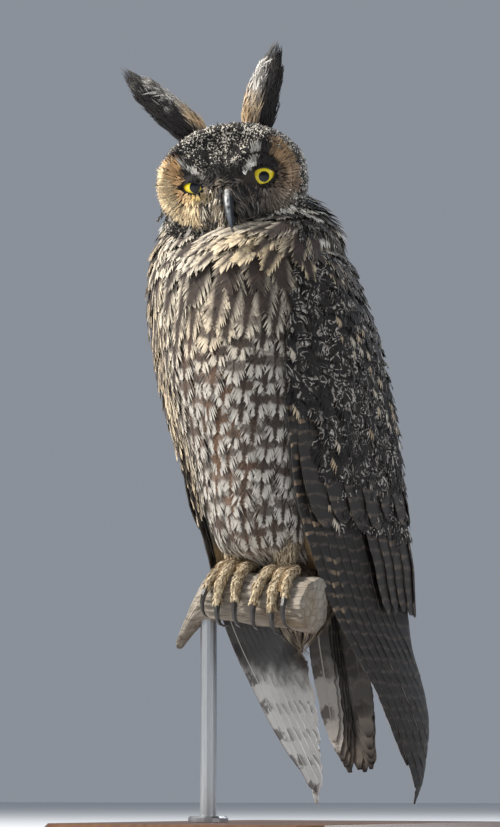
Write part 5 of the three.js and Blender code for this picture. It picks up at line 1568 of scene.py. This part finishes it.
for name, (side, width, height, tilt, turn_out, aside, above) in LIDS.items():
    polar = np.linspace(0.004, math.pi - 0.004, 60)[:, None]
    ball = joined(np.sin(polar) * np.cos(eye_turns), -np.cos(polar), np.sin(polar) * np.sin(eye_turns))
    centre = np.array([side * EYE_SIDE, -EYE_DEPTH, EYE_HEIGHT])
    looking = turned(2, -turn_out * side) @ turned(0, 4.5)
    places, faces = closed_rings(from_head(centre + EYE_RADIUS * ball @ looking.T))
    eye_mesh = mesh_of("eye_ball_" + name, places, outward(places, faces))
    uv = joined(eye_turns / (2 * math.pi), polar).reshape(-1, 2)
    give_uv(eye_mesh, "iris", np.concatenate([uv, [[0, 0], [0, math.pi]]]))
    eye = made_object("eye_ball_" + name, eye_mesh, iris_finish)
    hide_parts("eye_" + name)
    # The lid's edge is an almond on the ball. From there the lid turns out and runs back under the feathers.
    around = round_turns(LID_SIDES)
    edge_x = width / 2 * np.cos(around)
    edge_z = height / 2 * signed_power(np.sin(around), 1.3)
    lean = math.radians(tilt * side)
    leaned_x = edge_x * math.cos(lean) - edge_z * math.sin(lean)
    leaned_z = edge_x * math.sin(lean) + edge_z * math.cos(lean)
    edge_x, edge_z = leaned_x + aside, leaned_z + above
    away = np.hypot(edge_x, edge_z)
    rings = []
    for grow, radius in LID_RINGS:
        x, z = edge_x * (1 + grow / away), edge_z * (1 + grow / away)
        reach = np.minimum(np.hypot(x, z), radius * 0.97)
        x, z = x * reach / np.hypot(x, z), z * reach / np.hypot(x, z)
        rings.append(joined(x, -np.sqrt(radius**2 - reach**2), z) + centre)
    number = np.arange(len(LID_RINGS) * LID_SIDES).reshape(-1, LID_SIDES)
    ahead = np.roll(number, -1, axis=1)
    quads = joined(number[:-1], ahead[:-1], ahead[1:], number[1:]).reshape(-1, 4)
    lid_places = from_head(np.array(rings).reshape(-1, 3))
    one, two, three = (lid_places[quads[200, k]] for k in range(3))
    if np.dot(np.cross(two - one, three - one), HEAD_TURNED @ (0, -1, 0)) < 0:
        quads = quads[:, ::-1]
    lid = made_object("lid_" + name, mesh_of("lid_" + name, lid_places, [quads]), lid_finish)
    wall = lid.modifiers.new("wall", "SOLIDIFY")
    wall.thickness = 0.0005
    wall.offset = -1.0


# Bill
# A hooked bill of horn, set in the face: the upper half comes down over the lower and ends in a point. It is
# pale along its ridge, dark on its sides and blue-grey at the tip.
UPPER_BILL = [  # how far forward and how high each stop lies in the head's frame, half its width and depth
    [-24, -7, 4.2, 3.2], [-30.5, -8.5, 4.4, 4], [-34.8, -12.5, 4, 4.2], [-36.4, -17, 3.3, 3.7],
    [-36, -21.5, 2.5, 2.9], [-34.8, -25, 1.4, 1.8], [-33.4, -27.6, 0.4, 0.45],
]
LOWER_BILL = [[-21, -16, 3.4, 2], [-26.5, -19, 3.4, 2], [-30, -21.5, 2.5, 1.6], [-31.5, -24.2, 1, 0.8]]
BILL_SLIMNESS = (1, 1, 0.64, 1)
BILL_RINGS, BILL_SIDES = 46, 40
bill_finish = Finish("bill_horn", 0.5)
bill_place = bill_finish.place()
bill_grain = bill_finish.noise(bill_place, 420.0, 5.0)
bill_round, bill_along, _ = bill_finish.parts(bill_finish.add("ShaderNodeUVMap", uv_map="horn"))
bill_flake = bill_finish.noise(bill_place, 220.0, 3.0)
bill_down = bill_finish.scaled(bill_flake, 0.4, bill_along)
bill_tip = bill_finish.step(bill_down, 0.45, 0.9)
bill_colour = bill_finish.blend(bill_tip, paint(176, 176, 172), paint(74, 82, 94))
ridge_away = bill_finish.sum("ABSOLUTE", bill_finish.sum("SUBTRACT", bill_round, 0.25))
bill_colour = bill_finish.blend(bill_finish.step(ridge_away, 0.03, 0.12), bill_colour, paint(44, 47, 53))
bill_colour = bill_finish.blend(bill_finish.step(bill_grain, 0.42, 0.68), bill_colour, paint(52, 54, 58))
bill_finish.colour(bill_colour)
bill_finish.bump(bill_grain, 0.0003, 0.6)
for name, stops in (("upper", UPPER_BILL), ("lower", LOWER_BILL)):
    stops = np.array(stops, float)
    fine = smooth_through(np.arange(len(stops)), stops, np.linspace(0, len(stops) - 1, BILL_RINGS))
    forth, up, wide, deep = (fine * BILL_SLIMNESS).T
    path = from_head(joined(0.0, forth, up))
    rings = rod_places(path, wide, deep, HEAD_TURNED @ (1, 0, 0), round_turns(BILL_SIDES))
    places, faces = shell(rings)
    bill_mesh = mesh_of("bill_" + name + "_horn", places, faces)
    grid = joined(np.arange(BILL_SIDES) / BILL_SIDES, np.linspace(0, 1, BILL_RINGS)[:, None]).reshape(-1, 2)
    give_uv(bill_mesh, "horn", np.concatenate([grid, [[0.25, 0], [0.25, 1]]]))
    bill = made_object("bill_" + name + "_horn", bill_mesh, bill_finish)
    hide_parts("bill_" + name)


# Legs and toes
# Short buff down, closer and smaller towards the claws, covers legs and toes down to their last joints. It
# stands on the skin in staggered rows and points down the limb.
LEG_DOWN = (190, 174, 148), (140, 122, 98)
TOE_DOWN = (204, 188, 158), (146, 126, 98)
limbs = Coat()


def down_tufts(rings, path, spacing, length, width, sunk, proud, tones, reach=(0.0, 0.97)):
    """Small soft tufts along a limb: over rings of places round its path, pointing down it."""
    limb = Surface(rings, closed=True)
    if np.sum(limb.normals[4, 0] * (rings[4, 0] - path[4])) < 0:
        limb = Surface(rings[:, ::-1], closed=True)
    limb_s, limb_t = staggered(limb, spacing, spacing, random, t_range=reach)
    limb_flow = smooth_through(np.linspace(0, 1, len(path)), unit(np.gradient(path, axis=0)), limb_t)
    limb_flow = limb_flow + 0.2 * random.normal(size=limb_flow.shape)
    mixed = washed(tone_of(tones[0]), random.random(len(limb_s)), tones[1])
    lengths = length + 0.1 * length * random.normal(size=len(limb_s))
    set_feathers(
        limbs, limb, limb_s, limb_t, limb_flow, lengths, width, sunk, proud, random, mixed, (0.0, 0.0, 0.0),
        pairs=2, half=0.34, ruffle=0.3, jitter=0.2, loose=0.25, first=0.0, last=0.35, sweep=0.7, camber=0.1,
    )


for side in (1, -1):
    leg_path = leg_stops[:, :3] * (side, 1, 1)
    leg_rings = rod_places(leg_path, leg_stops[:, 3] - 0.8, leg_stops[:, 4] - 0.8, (1, 0, 0), round_turns(40))
    down_tufts(leg_rings, leg_path, 3.0, 8.0, 3.6, -1.5, 1.0, LEG_DOWN)
    for toe in TOES:
        path = toe_path(side, toe, toe_steps, PERCH_RADIUS + 3.6)
        half = toe_half(toe, toe_steps) - 0.3
        toe_rings = rod_places(path, half, half, (1, 0, 0), round_turns(24))
        down_tufts(toe_rings, path, 1.5, 3.4, 1.2, -0.6, 0.15, TOE_DOWN, reach=(0.0, 0.93))
limbs.piece("leg_feathers", plain_finish, "leg_plumage")


# Perch
# A short cut length of weathered branch, grey-brown and cracked along its grain, with a broken hooked end.
# The stand's rod carries it from below.
PERCH_RINGS, PERCH_SIDES = 150, 160
perch_along = np.linspace(-53, 33.5, PERCH_RINGS)[:, None]
perch_angle = (360 * np.arange(PERCH_SIDES) / PERCH_SIDES)[None, :]
hooked = np.maximum(0, (-27 - perch_along) / 26)
rad = np.radians(perch_angle)
bark = 0.7 * np.sin(3 * rad + perch_along / 19) + 0.5 * np.sin(7 * rad - perch_along / 7)
bark = bark + 0.22 * np.sin(23 * rad + 2 * np.sin(perch_along / 5))
bark = bark + 0.15 * np.sin(41 * rad + 3 * np.sin(perch_along / 9 + 1))
swell = 1.2 * bell(perch_along + 30, 14) + 0.8 * bell(perch_along - 30, 10)
perch_out = (PERCH_RADIUS + bark + swell) * (1 - 0.7 * hooked)
perch_rings = perch_places(perch_along, perch_out, perch_angle)
perch_rings[..., 2] -= 30 * hooked**1.5
bark_finish = Finish("bark", 0.9)
bark_mapping = bark_finish.stretched((0.25, 1.0, 1.0))
bark_grain = bark_finish.noise(bark_mapping, 320.0, 6.0)
bark_blotch = bark_finish.noise(bark_mapping, 60.0, 3.0)
bark_cells = {"Vector": bark_mapping, "Scale": 200.0}
bark_edge = bark_finish.add("ShaderNodeTexVoronoi", bark_cells, feature="DISTANCE_TO_EDGE")
bark_crack = bark_finish.step(bark_edge, 0.06, 0.0)
bark_colour = bark_finish.blend(bark_grain, paint(84, 77, 69), paint(170, 161, 148))
bark_colour = bark_finish.blend(bark_finish.step(bark_blotch, 0.5, 0.7), bark_colour, paint(120, 106, 90))
bark_colour = bark_finish.blend(bark_finish.times(bark_crack, 0.6), bark_colour, paint(66, 54, 44))
bark_finish.colour(bark_colour)
bark_finish.bump(bark_grain, 0.0012, 0.8)
places, faces = shell(perch_rings)
branch = made_object("branch", mesh_of("branch", places, faces), bark_finish)
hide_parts("perch")


# Claws
# Black horn claws, curved and sharp, polished along their backs, each rooted in the end of its toe. They
# keep their solids' shapes.
claw_finish = Finish("claw_horn", 0.28)
claw_grain = claw_finish.noise(claw_finish.place(), 700.0, 3.0)
claw_finish.colour(claw_finish.blend(claw_grain, paint(26, 24, 24), paint(58, 54, 52)))
claw_finish.bump(claw_grain, 0.0001, 0.4)


# Stand
# A flat base of dark oiled wood, its grain from front to back, and one brushed steel rod that stands on it
# by a flange and carries the branch. Both keep their solids' shapes.
wood_finish = Finish("base_wood", 0.35)
wood_grain = wood_finish.noise(wood_finish.stretched((1.0, 0.12, 1.0)), 160.0, 6.0)
wood_finish.colour(wood_finish.blend(wood_grain, paint(58, 38, 26), paint(112, 78, 52)))
wood_finish.bump(wood_grain, 0.0002, 0.4)
steel_finish = Finish("brushed_steel", 0.32)
steel_finish.shader.inputs["Metallic"].default_value = 1.0
steel_brush = steel_finish.noise(steel_finish.stretched((1.0, 1.0, 0.06)), 1500.0, 3.0)
steel_finish.colour(steel_finish.blend(steel_brush, (0.42, 0.43, 0.44, 1.0), (0.60, 0.61, 0.62, 1.0)))
carried = {"claw": claw_finish, "stand_base": wood_finish, "stand_rod": steel_finish}
for piece in [o for o in bpy.data.objects if o.type == "MESH"]:
    for start, finish in carried.items():
        if piece.name.startswith(start):
            for material_slot in piece.material_slots:
                material_slot.material = finish.material
